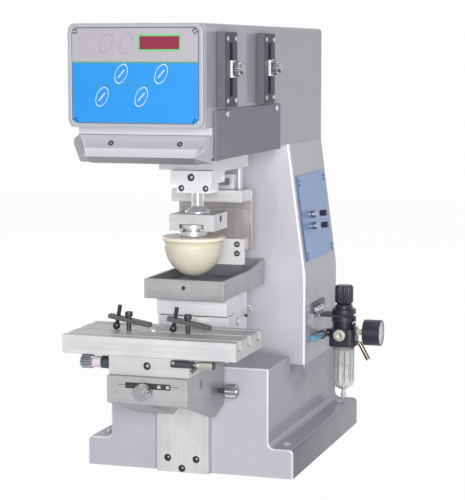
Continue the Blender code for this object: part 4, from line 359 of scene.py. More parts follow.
def panel_print():
    """Printed foil: pale strip on top, green line, blue field, oval keys, lamps and bars as key signs."""
    finish = Finish("printed_foil", "panel_foil", (0.10, 0.42, 0.90), 0.38)
    across, _, up = finish.axes()
    pale, blue, white = (0.39, 0.365, 0.40), (0.0135, 0.247, 0.655), (0.58, 0.66, 0.74)
    colour = finish.mix(up > 0.5474, blue, pale)
    colour = finish.mix(within(up, 0.5462, 0.5482), colour, (0.08, 0.29, 0.19))
    border = within(across, 0.0045, 0.0592) * within(up, 0.5606, 0.5806)
    colour = finish.mix(border, colour, (0.12, 0.50, 0.20))
    grey_keys = keys_mask(across, up, ((-0.0363, 0.5698), (-0.0108, 0.5695)), 0.13)
    colour = finish.mix(grey_keys, colour, (0.22, 0.21, 0.36))
    places = ((-0.0172, 0.5336), (0.0339, 0.5336), (-0.0421, 0.5059), (0.0085, 0.5061))
    colour = finish.mix(keys_mask(across, up, places, 0.17), colour, white)
    signs = []
    for key_x, key_z in places:
        lean = (across - key_x) - (up - key_z) * 0.85
        signs.append((abs(lean) < 0.0011) * (abs(up - key_z) < 0.0048))
    colour = finish.mix(union(signs) * 0.8, colour, white)
    radius, pitch = 0.0017, 0.01274
    lamps = [(across - (-0.0484 + pitch * index)) ** 2 + (up - 0.5200) ** 2 < radius * radius
             for index in range(6)]
    colour = finish.mix(union(lamps), colour, (0.03, 0.24, 0.13))
    low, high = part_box("panel_overlay")
    corner = 0.006
    reach_x, reach_z = (high.x - low.x) / 2 - corner, (high.z - low.z) / 2 - corner
    side = ((abs(across) - reach_x) | 0) ** 2
    rim = side + ((abs(up - (low.z + high.z) / 2) - reach_z) | 0) ** 2
    colour = finish.mix(rim > 0.0052 ** 2, colour, (0.13, 0.15, 0.22))
    finish.set("Base Color", colour)
    grain = finish.noise(1500, 2)
    finish.set("Roughness", grain * 0.10 + 0.33)
    finish.relief(grain, 0.03, 0.0001)
    return finish


def dial_face(centre_y, centre_z):
    """White dial with a black scale of plain ticks."""
    white = (0.88, 0.88, 0.86)
    finish = Finish("dial_white", "clear_bowl", white, 0.40)
    _, side, up = finish.axes()
    across, rise = side - centre_y, up - centre_z
    reach = (across ** 2 + rise ** 2) ** 0.5
    angle = across.maths("ARCTAN2", rise)
    beat = abs((angle * (18 / math.pi)).maths("FRACT") - 0.5)
    ticks = (beat > 0.40) * within(reach, 0.0105, 0.0130)
    scale = (ticks | within(reach, 0.0130, 0.0134)) * (rise > reach * -0.72)
    finish.set("Base Color", finish.mix(scale, white, (0.03, 0.03, 0.03)))
    return finish


SILVER, ALLOY = "cast_silver", "machined_aluminium"
BASE_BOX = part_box("base_casting")
# Base paint, with a painted highlight on its front edges and painted shade on its side.
CAST = cast_paint("cast_silver_paint", SILVER, (0.51, 0.50, 0.555), (0.42, 0.41, 0.46), 0.36,
                  BASE_BOX[0].y, BASE_BOX[1].x)
# Lighter copy of the cast paint for the column: painted light that lifts it out of the shade under the
# head, with the painted edge highlight on its front.
COLUMN_LIGHTENED_PAINT = cast_paint("column_silver_paint_lightened", SILVER, (0.60, 0.59, 0.65), (0.51, 0.50, 0.555), 0.6,
                          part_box("column_casting")[0].y)
SHEET = cast_paint("side_silver_paint", "painted_side", (0.465, 0.45, 0.51), (0.40, 0.39, 0.445))
MACHINED, MACHINED_Y, MACHINED_Z = [
    brushed(f"{ALLOY}_{axis}", ALLOY, (0.68, 0.68, 0.69), (0.48, 0.48, 0.495), stretch)
    for axis, stretch in (("x", ALONG_X), ("y", ALONG_Y), ("z", ALONG_Z))]
# Darker copy of the guard's satin for the end gussets: painted shade.
GUARD_END_SHADED = brushed("guard_end_satin_shaded", ALLOY, (0.40, 0.40, 0.43), (0.33, 0.33, 0.36), ALONG_Z, 0.42, 0.3)
# Lighter copy of the milled finish: painted light and sheen for the ram block, gland, blade holder and tray
# support, which sit in shade.
MILLED_LIGHTENED = brushed("milled_lightened", ALLOY, (0.88, 0.88, 0.90), (0.68, 0.68, 0.71), ALONG_X, 0.42, 0.4)
ARM_METAL = brushed("arm_aluminium", ALLOY, (0.44, 0.41, 0.41), (0.33, 0.31, 0.31), ALONG_Z)
MILLED = brushed("milled_aluminium", ALLOY, (0.49, 0.485, 0.495), (0.345, 0.34, 0.35), ALONG_X)
TABLE_METAL = brushed("table_aluminium", ALLOY, (0.655, 0.655, 0.665), (0.48, 0.48, 0.495), ALONG_X,
                      metallic=0.15)
GROUND = brushed("ground_steel", "bright_steel", (0.34, 0.335, 0.37), (0.24, 0.235, 0.27), ALONG_Y,
                 metallic=0.5)
COVER_GREY = moulded("cover_grey", "dark_anodised", (0.165, 0.165, 0.20), 0.50, 0.3)
LOCK_BLACK = moulded("lock_bar_black", "black_anodised", (0.050, 0.050, 0.062), 0.45, 0.3)
BLACK_STEEL = moulded("oiled_black_steel", "blackened_steel", (0.050, 0.050, 0.055), 0.38, 0.7, 0.15)
STEEL = bright("turned_steel", "bright_steel", (0.60, 0.60, 0.60), (0.44, 0.44, 0.45), 0.26)
BRIGHT_PLATE_AND_GLINT = moulded("bright_plate_and_glint", "bright_steel", (0.74, 0.74, 0.76), 0.30, 0.4, 0.03)
COLLAR_PALE = moulded("collar_pale", "clear_bowl", (0.66, 0.57, 0.61), 0.40)
RING_DARK = moulded("ring_dark", "black_anodised", (0.035, 0.055, 0.058), 0.42)
KNURL_STEEL = bright("knurled_steel", "bright_steel", (0.42, 0.42, 0.44), (0.28, 0.28, 0.30), 0.30)
ZINC_AND_GLINT = moulded("zinc_screw_and_glint", "bright_steel", (0.52, 0.53, 0.57), 0.34, 0.5, 0.02)
BEZEL = moulded("bezel_satin", ALLOY, (0.38, 0.39, 0.43), 0.42, 0.2, 0.03)
SATIN_CHROME = brushed("satin_chrome", "chrome", (0.62, 0.62, 0.64), (0.48, 0.48, 0.50),
                       (2.0, 2.0, 0.2), 0.36, 0.6)
BAR_STEEL = moulded("clamp_bar_steel", "blackened_steel", (0.115, 0.115, 0.12), 0.42, 0.5, 0.2)
CHROME = bright("hard_chrome", "chrome", (0.58, 0.58, 0.57), (0.46, 0.46, 0.44), 0.14)
BRASS = bright("pale_brass", "brass", (0.56, 0.535, 0.45), (0.40, 0.38, 0.31), 0.30)
NIPPLE_CREAM = moulded("nipple_cream", "brass", (0.74, 0.68, 0.56), 0.34, 0.3, 0.02)
PLUG_METAL = bright("plug_metal", "brass", (0.80, 0.78, 0.68), (0.52, 0.50, 0.40), 0.30)
BRONZE = bright("dark_bronze", "brass", (0.25, 0.205, 0.155), (0.14, 0.115, 0.085), 0.28)
# The valve plate's front edge gets painted shade.
BLUE_METAL = brushed("blue_anodised_sheet", "blue_anodised", (0.235, 0.355, 0.60), (0.18, 0.29, 0.53),
                     ALONG_Y, 0.34, 0.55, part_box("valve_plate")[0].y + 0.0006)
BLUE_DARK = moulded("blue_dark_screw", "bright_steel", (0.10, 0.14, 0.30), 0.34, 0.4)
BLACK_PLASTIC = moulded("black_moulding", "black_plastic", (0.018, 0.019, 0.036), 0.32)
CLEAR = Finish("clear_bowl_moulding", "clear_bowl", (0.92, 0.93, 0.92), 0.06,
               transmission_weight=0.85, ior=1.45)
BOWL_GREY = moulded("bowl_grey", "clear_bowl", (0.24, 0.24, 0.24), 0.30)
LENS = Finish("clear_lens", "clear_bowl", (0.97, 0.97, 0.97), 0.03, transmission_weight=1.0, ior=1.45)
TUBE_BLUE = moulded("tube_blue", "blue_anodised", (0.15, 0.41, 0.57), 0.26, 0.0, 0.02)
WINDOW_RED = moulded("window_red", "panel_foil", (0.22, 0.010, 0.040), 0.20, 0.0, 0.0)
WHITE = moulded("white_moulding", "clear_bowl", (0.80, 0.80, 0.78), 0.40)
# Dark for real marks and the gauge needle, and for painted shade in the vent slots, the pockets, under the
# support's nose and under screw heads.
DARK_MARK_AND_SHADE = moulded("engraved_dark_and_painted_shade", "blackened_steel", (0.03, 0.03, 0.03), 0.60, 0.0)
PAD_CREAM = rubber_pad()
GUARD_METAL = guard_sheet()
BRACKET = bracket_metal()
RAIL = rail_metal()
PANEL = panel_print()


def corners_of(bm, limit, joints):
    """Edges sharper than the limit, but for those at a joint's height."""
    angle = math.radians(limit)
    corners = [e for e in bm.edges if len(e.link_faces) == 2 and e.calc_face_angle(0) > angle]
    for joint in joints:
        corners = [e for e in corners if max(abs(v.co.z - joint) for v in e.verts) > 0.0004]
    return corners


def soften(bm, edges, offset, segments, clamp):
    bmesh.ops.bevel(bm, geom=edges, offset=offset, offset_type="OFFSET", affect="EDGES",
                    segments=segments, profile=0.5, material=-1, clamp_overlap=clamp)


def show(name, bm, finish, body, edge=0.0, segments=2, limit=30, stands_for=(), joints=(), front=None):
    """Soften a shape's corners, the rim at its front first, and let the piece ride on a body."""
    bmesh.ops.remove_doubles(bm, verts=bm.verts, dist=MERGE)
    if front is not None:
        rim = [e for e in corners_of(bm, limit, joints) if max(v.co.z for v in e.verts) > 0.001]
        rim = [e for e in rim if max(abs(v.co.y - front) for v in e.verts) < 2 * MERGE]
        soften(bm, rim, edge, 4, False)
    if edge:
        soften(bm, corners_of(bm, limit, joints), edge, segments, True)
    bmesh.ops.recalc_face_normals(bm, faces=bm.faces)
    mesh = bpy.data.meshes.new(name)
    bm.to_mesh(mesh)
    bm.free()
    mesh.shade_smooth()
    mesh.set_sharp_from_angle(angle=math.radians(50))
    mesh.materials.append(finish.material)
    piece = bpy.data.objects.new(name, mesh)
    bpy.context.scene.collection.objects.link(piece)
    even = piece.modifiers.new("even_faces", "WEIGHTED_NORMAL")
    even.keep_sharp = True
    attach(piece, body)
    if stands_for:
        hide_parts(*stands_for)


def dress(node, finish, edge=0.0005, segments=2, limit=30, joints=(), front=None):
    """Show a solid with softened edges and its real finish."""
    solid = NODES[node]
    bm = bmesh.new()
    bm.from_mesh(solid.data)
    bmesh.ops.remove_doubles(bm, verts=bm.verts, dist=MERGE)
    bmesh.ops.dissolve_limit(bm, angle_limit=math.radians(0.5), verts=bm.verts, edges=bm.edges,
                             delimit={"NORMAL"})
    show(f"{node}_finished", bm, finish, solid["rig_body"], edge, segments, limit, (node,), joints, front)


def settle(bm, before, base, direction, turn=0.0):
    """Move what was added since `before` from the origin's +Z to a base and direction."""
    added = [vert for vert in bm.verts if vert not in before]
    aim = Vector(direction).to_track_quat("Z", "Y").to_matrix().to_4x4()
    matrix = Matrix.Translation(base) @ aim @ Matrix.Rotation(turn, 4, "Z")
    bmesh.ops.transform(bm, matrix=matrix, verts=added)


def turned(bm, profile, base, direction, sides=48):
    """Spin a profile of (radius, along) about an axis."""
    before = set(bm.verts)
    verts = [bm.verts.new((radius, 0, along)) for radius, along in profile]
    edges = [bm.edges.new(pair) for pair in zip(verts, verts[1:])]
    if profile[0][0] > 0 and profile[-1][0] > 0:
        edges.append(bm.edges.new((verts[-1], verts[0])))
    bmesh.ops.spin(bm, geom=verts + edges, cent=(0, 0, 0), axis=(0, 0, 1), dvec=(0, 0, 0),
                   angle=math.tau, steps=sides, use_merge=True, use_duplicate=False)
    added = [vert for vert in bm.verts if vert not in before]
    bmesh.ops.remove_doubles(bm, verts=added, dist=MERGE)
    settle(bm, before, base, direction)


def stepped(*steps, start=0.0):
    """Profile of a shaft whose steps of (radius, end) follow one another."""
    profile = [(0, start)]
    for radius, end in steps:
        profile += [(radius, start), (radius, end)]
        start = end
    return profile + [(0, start)]


def rounds(name, finish, body, places, profile, edge=0.0, sides=48, segments=2, limit=30, stands_for=()):
    """Show one turned shape at each (base, direction), all as one piece."""
    bm = bmesh.new()
    for base, direction in places:
        turned(bm, profile, base, direction, sides)
    show(name, bm, finish, body, edge, segments, limit, stands_for)


def bar(bm, base, direction, size, length, sides=32):
    turned(bm, stepped((size / 2, length)), base, direction, sides)


def ball(bm, centre, radius, sides=20, rings=12):
    bmesh.ops.create_uvsphere(bm, u_segments=sides, v_segments=rings, radius=radius,
                              matrix=Matrix.Translation(centre))


def block(bm, low, high):
    """Box between two corners."""
    low, high = Vector(low), Vector(high)
    matrix = Matrix.Translation((low + high) / 2) @ Matrix.Diagonal(high - low).to_4x4()
    return bmesh.ops.create_cube(bm, size=1, matrix=matrix)["verts"]


def blocks(name, finish, body, corners, edge=0.0):
    """Show boxes between pairs of corners, all as one piece."""
    bm = bmesh.new()
    for low, high in corners:
        block(bm, low, high)
    show(name, bm, finish, body, edge)


def circle(bm, sides, radius, height=0.0):
    """Loop of edges around Z, always in the same order."""
    verts = bmesh.ops.create_circle(bm, cap_ends=False, segments=sides, radius=radius,
                                    matrix=Matrix.Translation((0, 0, height)))["verts"]
    return list(dict.fromkeys(edge for vert in verts for edge in vert.link_edges))


def grow(bm, edges, rise, spread=1.0):
    """Extrude a loop upwards and spread it; gives the new loop."""
    made = bmesh.ops.extrude_edge_only(bm, edges=edges)["geom"]
    verts = [item for item in made if isinstance(item, bmesh.types.BMVert)]
    bmesh.ops.translate(bm, vec=(0, 0, rise), verts=verts)
    bmesh.ops.scale(bm, vec=(spread, spread, 1), verts=verts)
    fresh = set(verts)
    return [item for item in made if isinstance(item, bmesh.types.BMEdge) and set(item.verts) <= fresh]


def close(bm, edges):
    bmesh.ops.edgeloop_fill(bm, edges=edges)


def knurled(bm, base, direction, size, length, teeth, depth=0.07, edge=0.0012):
    """Round grip with straight grooves; its ends are drawn in."""
    before = set(bm.verts)
    radius, flute = size / 2, 4
    loop = circle(bm, teeth * flute, radius)
    verts = dict.fromkeys(vert for e in loop for vert in e.verts)
    verts = sorted(verts, key=lambda vert: math.atan2(vert.co.y, vert.co.x))
    bmesh.ops.scale(bm, vec=(1 - 2 * depth, 1 - 2 * depth, 1), verts=verts[::flute])
    drawn = 1 - edge / radius
    bmesh.ops.scale(bm, vec=(drawn, drawn, 1), verts=verts)
    close(bm, loop)
    loop = grow(bm, loop, edge, 1 / drawn)
    loop = grow(bm, loop, length - 2 * edge)
    loop = grow(bm, loop, edge, drawn)
    close(bm, loop)
    settle(bm, before, base, direction)


def hexagon(radius):
    return [(radius * math.cos(math.pi / 3 * step), radius * math.sin(math.pi / 3 * step))
            for step in range(6)]


def cross(reach, half):
    corner = [(reach, -half), (reach, half), (half, half)]
    turns = [Matrix.Rotation(math.pi / 2 * step, 2) for step in range(4)]
    return [tuple(turn @ Vector(point)) for turn in turns for point in corner]


def screw(bm, seat, direction, head, height, recess, deep=0.6, dome=0.0, turn=0.0):
    """Screw head with a recess in its top; a dome draws the rim in."""
    before = set(bm.verts)
    rim = circle(bm, 24, head / 2 * (1 - dome), height)
    corners = [bm.verts.new((x, y, height)) for x, y in recess]
    key = [bm.edges.new((corners[index - 1], corners[index])) for index in range(len(corners))]
    bmesh.ops.bridge_loops(bm, edges=rim + key)
    close(bm, grow(bm, key, -height * deep, 0.92))
    low = grow(bm, rim, -height * (0.55 if dome else 1.0), 1 / (1 - dome))
    if dome:
        low = grow(bm, low, -height * 0.45)
    close(bm, low)
    settle(bm, before, seat, direction, turn)


def socket_screw(bm, seat, direction, head, height, turn=0.3):
    screw(bm, seat, direction, head, height, hexagon(head * 0.30), turn=turn)


def cross_screw(bm, seat, direction, head, height, turn=0.6):
    screw(bm, seat, direction, head, height, cross(head * 0.30, head * 0.06), dome=0.28, turn=turn)


def fix(name, finish, body, places, maker, head, height):
    """Like screws as one piece, each turned its own way."""
    bm = bmesh.new()
    for index, (seat, direction) in enumerate(places):
        maker(bm, seat, direction, head, height, 0.4 + 1.1 * index)
    show(name, bm, finish, body, 0.00025, 1, 50)


def shade_rings(name, places, radius):
    """Dark ring of shade under each screw head."""
    rounds(name, DARK_MARK_AND_SHADE, "frame", places, stepped((radius, 0.0003)), sides=28)


def sunk_screws(name, glint_name, body, places, size, rise, radius):
    """Black socket screws, with a pale disc in each socket as a painted glint."""
    # Painted glint: a pale zinc disc in each socket.
    rounds(glint_name, ZINC_AND_GLINT, body, places, stepped((radius, rise + 0.0005), start=rise), sides=6)
    fix(name, BLACK_STEEL, body, places, socket_screw, *size)


def pipe(bm, path, size, sides=24):
    """Round bar that follows a path, bridged from circle to circle."""
    points = [Vector(point) for point in path]
    loops = []
    for index, point in enumerate(points):
        ahead = points[min(index + 1, len(points) - 1)] - points[max(index - 1, 0)]
        before = set(bm.verts)
        loops.append(circle(bm, sides, size / 2))
        settle(bm, before, point, ahead)
    for lower, upper in zip(loops, loops[1:]):
        bmesh.ops.bridge_loops(bm, edges=lower + upper)
    close(bm, loops[0])
    close(bm, loops[-1])


def arc(centre, first, second, end, steps):
    """Points on an ellipse spanned by two vectors, from the first one on."""
    centre, first, second = Vector(centre), Vector(first), Vector(second)
    angles = [math.radians(end * step / steps) for step in range(steps + 1)]
    return [centre + first * math.cos(angle) + second * math.sin(angle) for angle in angles]


def castings():
    low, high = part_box("column_casting")
    dress("base_casting", CAST, 0.0026, 3, 50, (COLUMN_SEAT,), BASE_BOX[0].y)
    dress("column_casting", COLUMN_LIGHTENED_PAINT, 0.0038, 4, 50, (low.z, high.z))
    dress("head_housing", SHEET, 0.0012, 2, 50, (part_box("head_housing")[0].z,))
    dress("rear_cover", SHEET, 0.0008)
    places = [((x, y, 0.0391), UP) for x in (-0.128, 0.128) for y in (-0.150, 0.140)]
    fix("bench_bolts", SHEET, "frame", places, socket_screw, 0.0125, 0.0030)
    fix("side_plug", SHEET, "frame", [((0.1111, 0.115, 0.052), RIGHT)], socket_screw, 0.008, 0.0015)


def rear_details():
    """Dark strips as painted shade in the vent slots, and screws of the rear cover."""
    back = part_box("rear_cover")[1].y - SEAT
    half, proud, tall = 0.045, 0.0004, 0.004
    rows = [0.500 + 0.011 * row for row in range(6)]
    blocks("vent_slot_shade", DARK_MARK_AND_SHADE, "frame",
           [((-half, back - proud, z), (half, back + proud, z + tall)) for z in rows])
    spots = ((-0.079, 0.585), (0.079, 0.585), (-0.079, 0.440),
             (0.098, 0.120), (-0.098, 0.120), (0.098, 0.250))
    places = [((x, back, z), BACK) for x, z in spots]
    fix("rear_screws", STEEL, "frame", places, cross_screw, 0.0070, 0.0010)


def control_panel():
    dress("panel_bezel", BEZEL, 0.0009, 3, 50)
    dress("panel_overlay", PANEL, 0.0002, 1, 50)
    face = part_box("panel_overlay")[0].y
    window = ((0.0066, face - 0.00015, 0.5628), (0.0571, face + 0.0008, 0.5784))
    blocks("display_window", WINDOW_RED, "frame", [window], 0.0002)
    places = [((x, face + 0.0014, z), FRONT) for x in (-0.0768, 0.0768) for z in (0.4770, 0.5843)]
    shade_rings("panel_screw_shade_rings", places, 0.0053)
    fix("panel_screws", ZINC_AND_GLINT, "frame", places, cross_screw, 0.0092, 0.0014)


def guard():
    """Bent guard with two screws, closed by a folded gusset at each end."""
    dress("front_guard", GUARD_METAL, 0.0006, 2, 25)
    places = [((x, -0.3457, 0.4483), (0, -0.860, 0.510)) for x in (-0.0420, 0.0475)]
    fix("guard_screws", BLACK_STEEL, "frame", places, socket_screw, 0.0068, 0.0014)
    tip = [(0, 0), (0.0015, 0), (0.0010, 0.0016), (0, 0.0016)]
    rounds("guard_screw_tips", ZINC_AND_GLINT, "frame", places, tip, sides=20)
    for name, side, bulge in (("left", -1, 0.0935), ("right", 1, 0.0864)):
        corners = ((0.0860, -0.3412, 0.4586), (0.0811, -0.3490, 0.4432), (0.0691, -0.3630, 0.4334),
                   (0.0691, -0.3464, 0.4246), (0.0860, -0.3390, 0.4246), (0.0860, -0.3390, 0.4586),
                   (bulge, -0.3400, 0.4535), (bulge, -0.3400, 0.4450), (bulge - 0.0004, -0.3420, 0.4500))
        bm = bmesh.new()
        points = [bm.verts.new((side * x, y, z)) for x, y, z in corners]
        bmesh.ops.convex_hull(bm, input=points)
        show(f"guard_gusset_{name}", bm, GUARD_END_SHADED, "frame", 0.0004, 2, 20)


def grip(name, bm, body, node):
    """Show a knurled knob in place of its solid."""
    show(name, bm, KNURL_STEEL, body, 0.0002, 1, 40, (node,))


def side_gear():
    dress("side_cover", COVER_GREY, 0.0004)
    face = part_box("side_cover")[1].x
    places = [((face, y, 0.4840), RIGHT) for y in (-0.291, -0.0745)]
    shade_rings("cover_screw_shade_rings", places, 0.0048)
    fix("cover_screws", ZINC_AND_GLINT, "frame", places, cross_screw, 0.0086, 0.0022)
    screws = bmesh.new()
    for name in ("front", "rear"):
        dress(f"stroke_rail_{name}", RAIL, 0.0011, 2, 50)
        low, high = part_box(f"stroke_rail_{name}")
        middle = (low.y + high.y) / 2
        for side in (-1, 1):
            for z in (low.z + 0.008, high.z - 0.008):
                socket_screw(screws, (high.x, middle + side * 0.0160, z), RIGHT, 0.0062, 0.0012)
        dress(f"stop_pointer_{name}", BRIGHT_PLATE_AND_GLINT, 0.0005, 2, 50)
        knob = f"stop_knob_{name}"
        place = (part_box(knob)[0].x, middle, STOP_Z)
        bm = bmesh.new()
        knurled(bm, place, RIGHT, 0.0185, 0.0090, 18)
        turned(bm, stepped((0.0062, 0.0125), start=0.0085), place, RIGHT)
        grip(f"stop_grip_{name}", bm, knob, knob)
    show("rail_screws", screws, ZINC_AND_GLINT, "frame", 0.0001, 1, 50)


def head_inside():
    dress("guide_rod_left", CHROME)
    dress("guide_rod_right", CHROME)
    dress("carriage_cylinder", MACHINED_Y)
    dress("carriage_rod", CHROME, 0.0004)
    dress("valve_bank", BLACK_PLASTIC)
    dress("ram_cylinder", MACHINED_Z)


def pad_gear():
    dress("carriage_plate", MACHINED, 0.0005, 2, 50)
    dress("ram_block", MILLED_LIGHTENED)
    dress("ram_gland", MILLED_LIGHTENED)
    low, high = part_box("ram_block")
    places = [((0, low.y + M6_SINK, (low.z + high.z) / 2), FRONT)]
    sunk_screws("ram_block_screw", "ram_screw_glint", "carriage", places, M6_HEAD, 0.0036, 0.0023)
    low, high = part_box("ram_gland")
    places = [((x, low.y + 0.0053, (low.z + high.z) / 2), FRONT) for x in (-0.017, 0.017)]
    sunk_screws("gland_screws", "gland_screw_glints", "carriage", places, (0.0084, 0.0045), 0.0030, 0.0020)
    dress("blade_cross_bar", MACHINED, 0.0005, 2, 50)

    low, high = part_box("pad_rod")
    top = high.z - low.z
    places = [((0, PAD_Y, low.z), UP)]
    rod = stepped((0.008, top - 0.010), (0.0137, top), start=0.0070)
    rounds("pad_rod_finished", CHROME, "ram", places, rod, 0.0003, 48, 2, 40, ("pad_rod",))
    collar = [(0, 0), (0.017, 0), (0.017, 0.0022), (0.0135, 0.0052), (0.0100, 0.0072), (0.0082, 0.0095),
              (0, 0.0095)]
    rounds("pad_rod_collar", SATIN_CHROME, "ram", places, collar, 0.0003, 48, 2, 40)
    dress("pad_holder", MACHINED)
    places = [((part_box("pad_holder")[1].x - M6_SINK, -0.135, 0.3380), RIGHT)]
    sunk_screws("holder_screw", "holder_screw_glint", "ram", places, M6_HEAD, 0.0036, 0.0022)
    dress("pad_base", SATIN_CHROME, 0.0003, 2, 40)
    silicone()


def silicone():
    """Round bowl below a folded rim."""
    low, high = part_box("silicone_pad")
    tip, top = low.z, high.z
    rim = (high.x - low.x) / 2
    neck, shoulder = rim - 0.0036, top - 0.0108
    steps = 16
    profile = [(0, tip)]
    for step in range(1, steps + 1):
        angle = math.pi / 2 * step / steps
        profile.append((neck * math.sin(angle), tip + (shoulder - tip) * (1 - math.cos(angle))))
    folds = ((-0.0006, 0.0006), (0.0001, 0.0012), (0.0003, 0.0028), (-0.0003, 0.0034), (0.0007, 0.0042))
    profile += [(neck + out, shoulder + rise) for out, rise in folds]
    profile += [(rim - 0.0008, shoulder + 0.0060), (rim, shoulder + 0.0074), (rim, top - 0.0016),
                (rim - 0.0012, top - 0.0003), (rim - 0.0034, top), (0.0225, top),
                (0.0210, top - 0.0006), (0, top - 0.0006)]
    places = [((0, (low.y + high.y) / 2, 0), UP)]
    rounds("pad_cast", PAD_CREAM, "ram", places, profile, 0.0, 72, stands_for=("silicone_pad",))


def blade_gear():
    dress("blade_arm", ARM_METAL)
    dress("blade_holder", MILLED_LIGHTENED)
    dress("doctor_blade", GROUND, 0.0)
    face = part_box("blade_holder")[0].y
    places = [((x, face, z), FRONT) for z in (0.2965, 0.2838) for x in (-0.034, 0.034)]
    sunk_screws("holder_screws", "blade_screw_glints", "blade", places, (0.0080, 0.0014), 0.0007, 0.0018)


def tray_gear():
    dress("ink_tray", MILLED, 0.0006)
    dress("etched_plate", GROUND, 0.0003)
    dress("tray_support", MILLED_LIGHTENED, 0.0006, 2, 40)
    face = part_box("ink_tray")[0].y
    fix("tray_screw", BLACK_STEEL, "frame", [((0, face, 0.2512), FRONT)], socket_screw, 0.0055, 0.0010)
    low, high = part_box("tray_support")
    side, front = high.x, low.y
    places = [((side, -0.118, 0.197), RIGHT)]
    shade_rings("support_screw_shade_ring", places, 0.0052)
    fix("support_screw", BRIGHT_PLATE_AND_GLINT, "frame", places, cross_screw, 0.0076, 0.0016)
    bm = bmesh.new()
    bar(bm, (side - 0.001, -0.0735, 0.2125), RIGHT, 0.0042, 0.0042, 20)
    hook = ((0.0020, -0.0735, 0.2125), (0.0046, -0.0735, 0.2112), (0.0064, -0.0740, 0.2080),
            (0.0062, -0.0755, 0.2045), (0.0044, -0.0790, 0.2020), (0.0026, -0.0850, 0.2006))
    pipe(bm, [(side + out, y, z) for out, y, z in hook], 0.0024, 12)
    show("support_lever", bm, STEEL, "frame")
    bm = bmesh.new()
    ball(bm, (side + 0.0026, -0.0865, 0.2004), 0.0024)
    show("lever_ball", bm, BLACK_STEEL, "frame")
    nose = high.z - 0.0252
    blocks("support_shade", DARK_MARK_AND_SHADE, "frame", (
        ((low.x + 0.0040, front + 0.0030, nose - 0.0015), (side - 0.0006, front + 0.0063, nose - 0.0001)),
        ((side - 0.0004, front + 0.0063, nose - 0.0011), (side + 0.0002, front + 0.0360, nose - 0.0004))))
    clip = ((0.0066, front + 0.0015, 0.1996), (0.0217, front + 0.0065, 0.2083))
    blocks("support_clip", WHITE, "frame", [clip], 0.0005)


def knee_gear():
    dress("guide_plate", MACHINED_Z, 0.0006)
    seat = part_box("guide_plate")[0].y + M6_SINK
    places = [((x, seat, z), FRONT) for x, z in ((-0.025, 0.0205), (0.015, 0.0205), (-0.005, 0.0070))]
    sunk_screws("guide_screws", "guide_screw_glints", "frame", places, M6_HEAD, 0.0030, 0.0015)
    dress("knee", MILLED, 0.0007, 2, 40)
    low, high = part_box("knee")
    side, front = high.x, low.y
    mark = ((side - 0.0002, -0.2797, 0.1345), (side + 0.0003, -0.2773, 0.1452))
    blocks("index_mark", DARK_MARK_AND_SHADE, "knee", [mark])
    blocks("pocket_shade", DARK_MARK_AND_SHADE, "knee", (
        ((-0.0302, front + 0.0010, 0.1422), (0.0282, front + 0.0030, 0.1478)),
        ((-0.0405, front - 0.0001, 0.1452), (0.0405, front + 0.0003, 0.1459))))
    # Painted highlights: two pale blocks in the pocket.
    glint_boxes = [((x, front + 0.0004, 0.1432), (x + 0.0045, front + 0.0014, 0.1468)) for x in (0.0115, 0.0230)]
    blocks("pocket_glints", BRIGHT_PLATE_AND_GLINT, "knee", glint_boxes, 0.0004)
    dress("cross_slide", MACHINED, 0.0006, 2, 40)
    places = [((-0.0045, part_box("cross_slide")[0].y + M6_SINK, 0.1692), FRONT)]
    sunk_screws("cross_screw", "cross_screw_glint", "cross_slide", places, M6_HEAD, 0.0036, 0.0021)
    feed_knobs()
    slide_lock()


def feed_knobs():
    """Knurled knobs of the table, of the cross slide and of the knee."""
    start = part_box("x_feed_knob")[1].x
    y, z = -0.300, 0.1665
    places = [((start, y, z), LEFT)]
    rounds("x_feed_ring", RING_DARK, "x_knob", places, stepped((0.00825, 0.0186), start=0.001), 0.0003)
    collar = stepped((0.004, 0.0186), (0.0075, 0.0303))
    rounds("x_feed_collar", COLLAR_PALE, "x_knob", places, collar, 0.0003)
    bm = bmesh.new()
    knurled(bm, (start - 0.0301, y, z), LEFT, 0.0185, 0.0172, 16, 0.07, 0.0022)
    grip("x_feed_grip", bm, "x_knob", "x_feed_knob")

    low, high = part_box("y_feed_knob")
    x, y, z = (low.x + high.x) / 2, high.y, 0.1395
    bm = bmesh.new()
    bar(bm, (x, y, z), FRONT, 0.009, 0.0055)
    knurled(bm, (x, y - 0.0047, z), FRONT, 0.0208, 0.0120, 18)
    turned(bm, [(0, 0.0160), (0.0065, 0.0160), (0.0055, 0.0177), (0, 0.0177)], (x, y, z), FRONT)
    grip("y_feed_grip", bm, "y_knob", "y_feed_knob")

    x, y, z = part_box("z_feed_knob")[0].x, -0.208, 0.119
    rounds("z_feed_stem", BLACK_STEEL, "z_knob", [((x, y, z), RIGHT)], stepped((0.003, 0.0105)), 0.0002, 32)
    bm = bmesh.new()
    knurled(bm, (x + 0.0098, y, z), RIGHT, 0.0188, 0.0150, 14, 0.08)
    turned(bm, [(0, 0.0240), (0.0060, 0.0240), (0.0052, 0.0270), (0, 0.0270)], (x, y, z), RIGHT)
    grip("z_feed_grip", bm, "z_knob", "z_feed_knob")


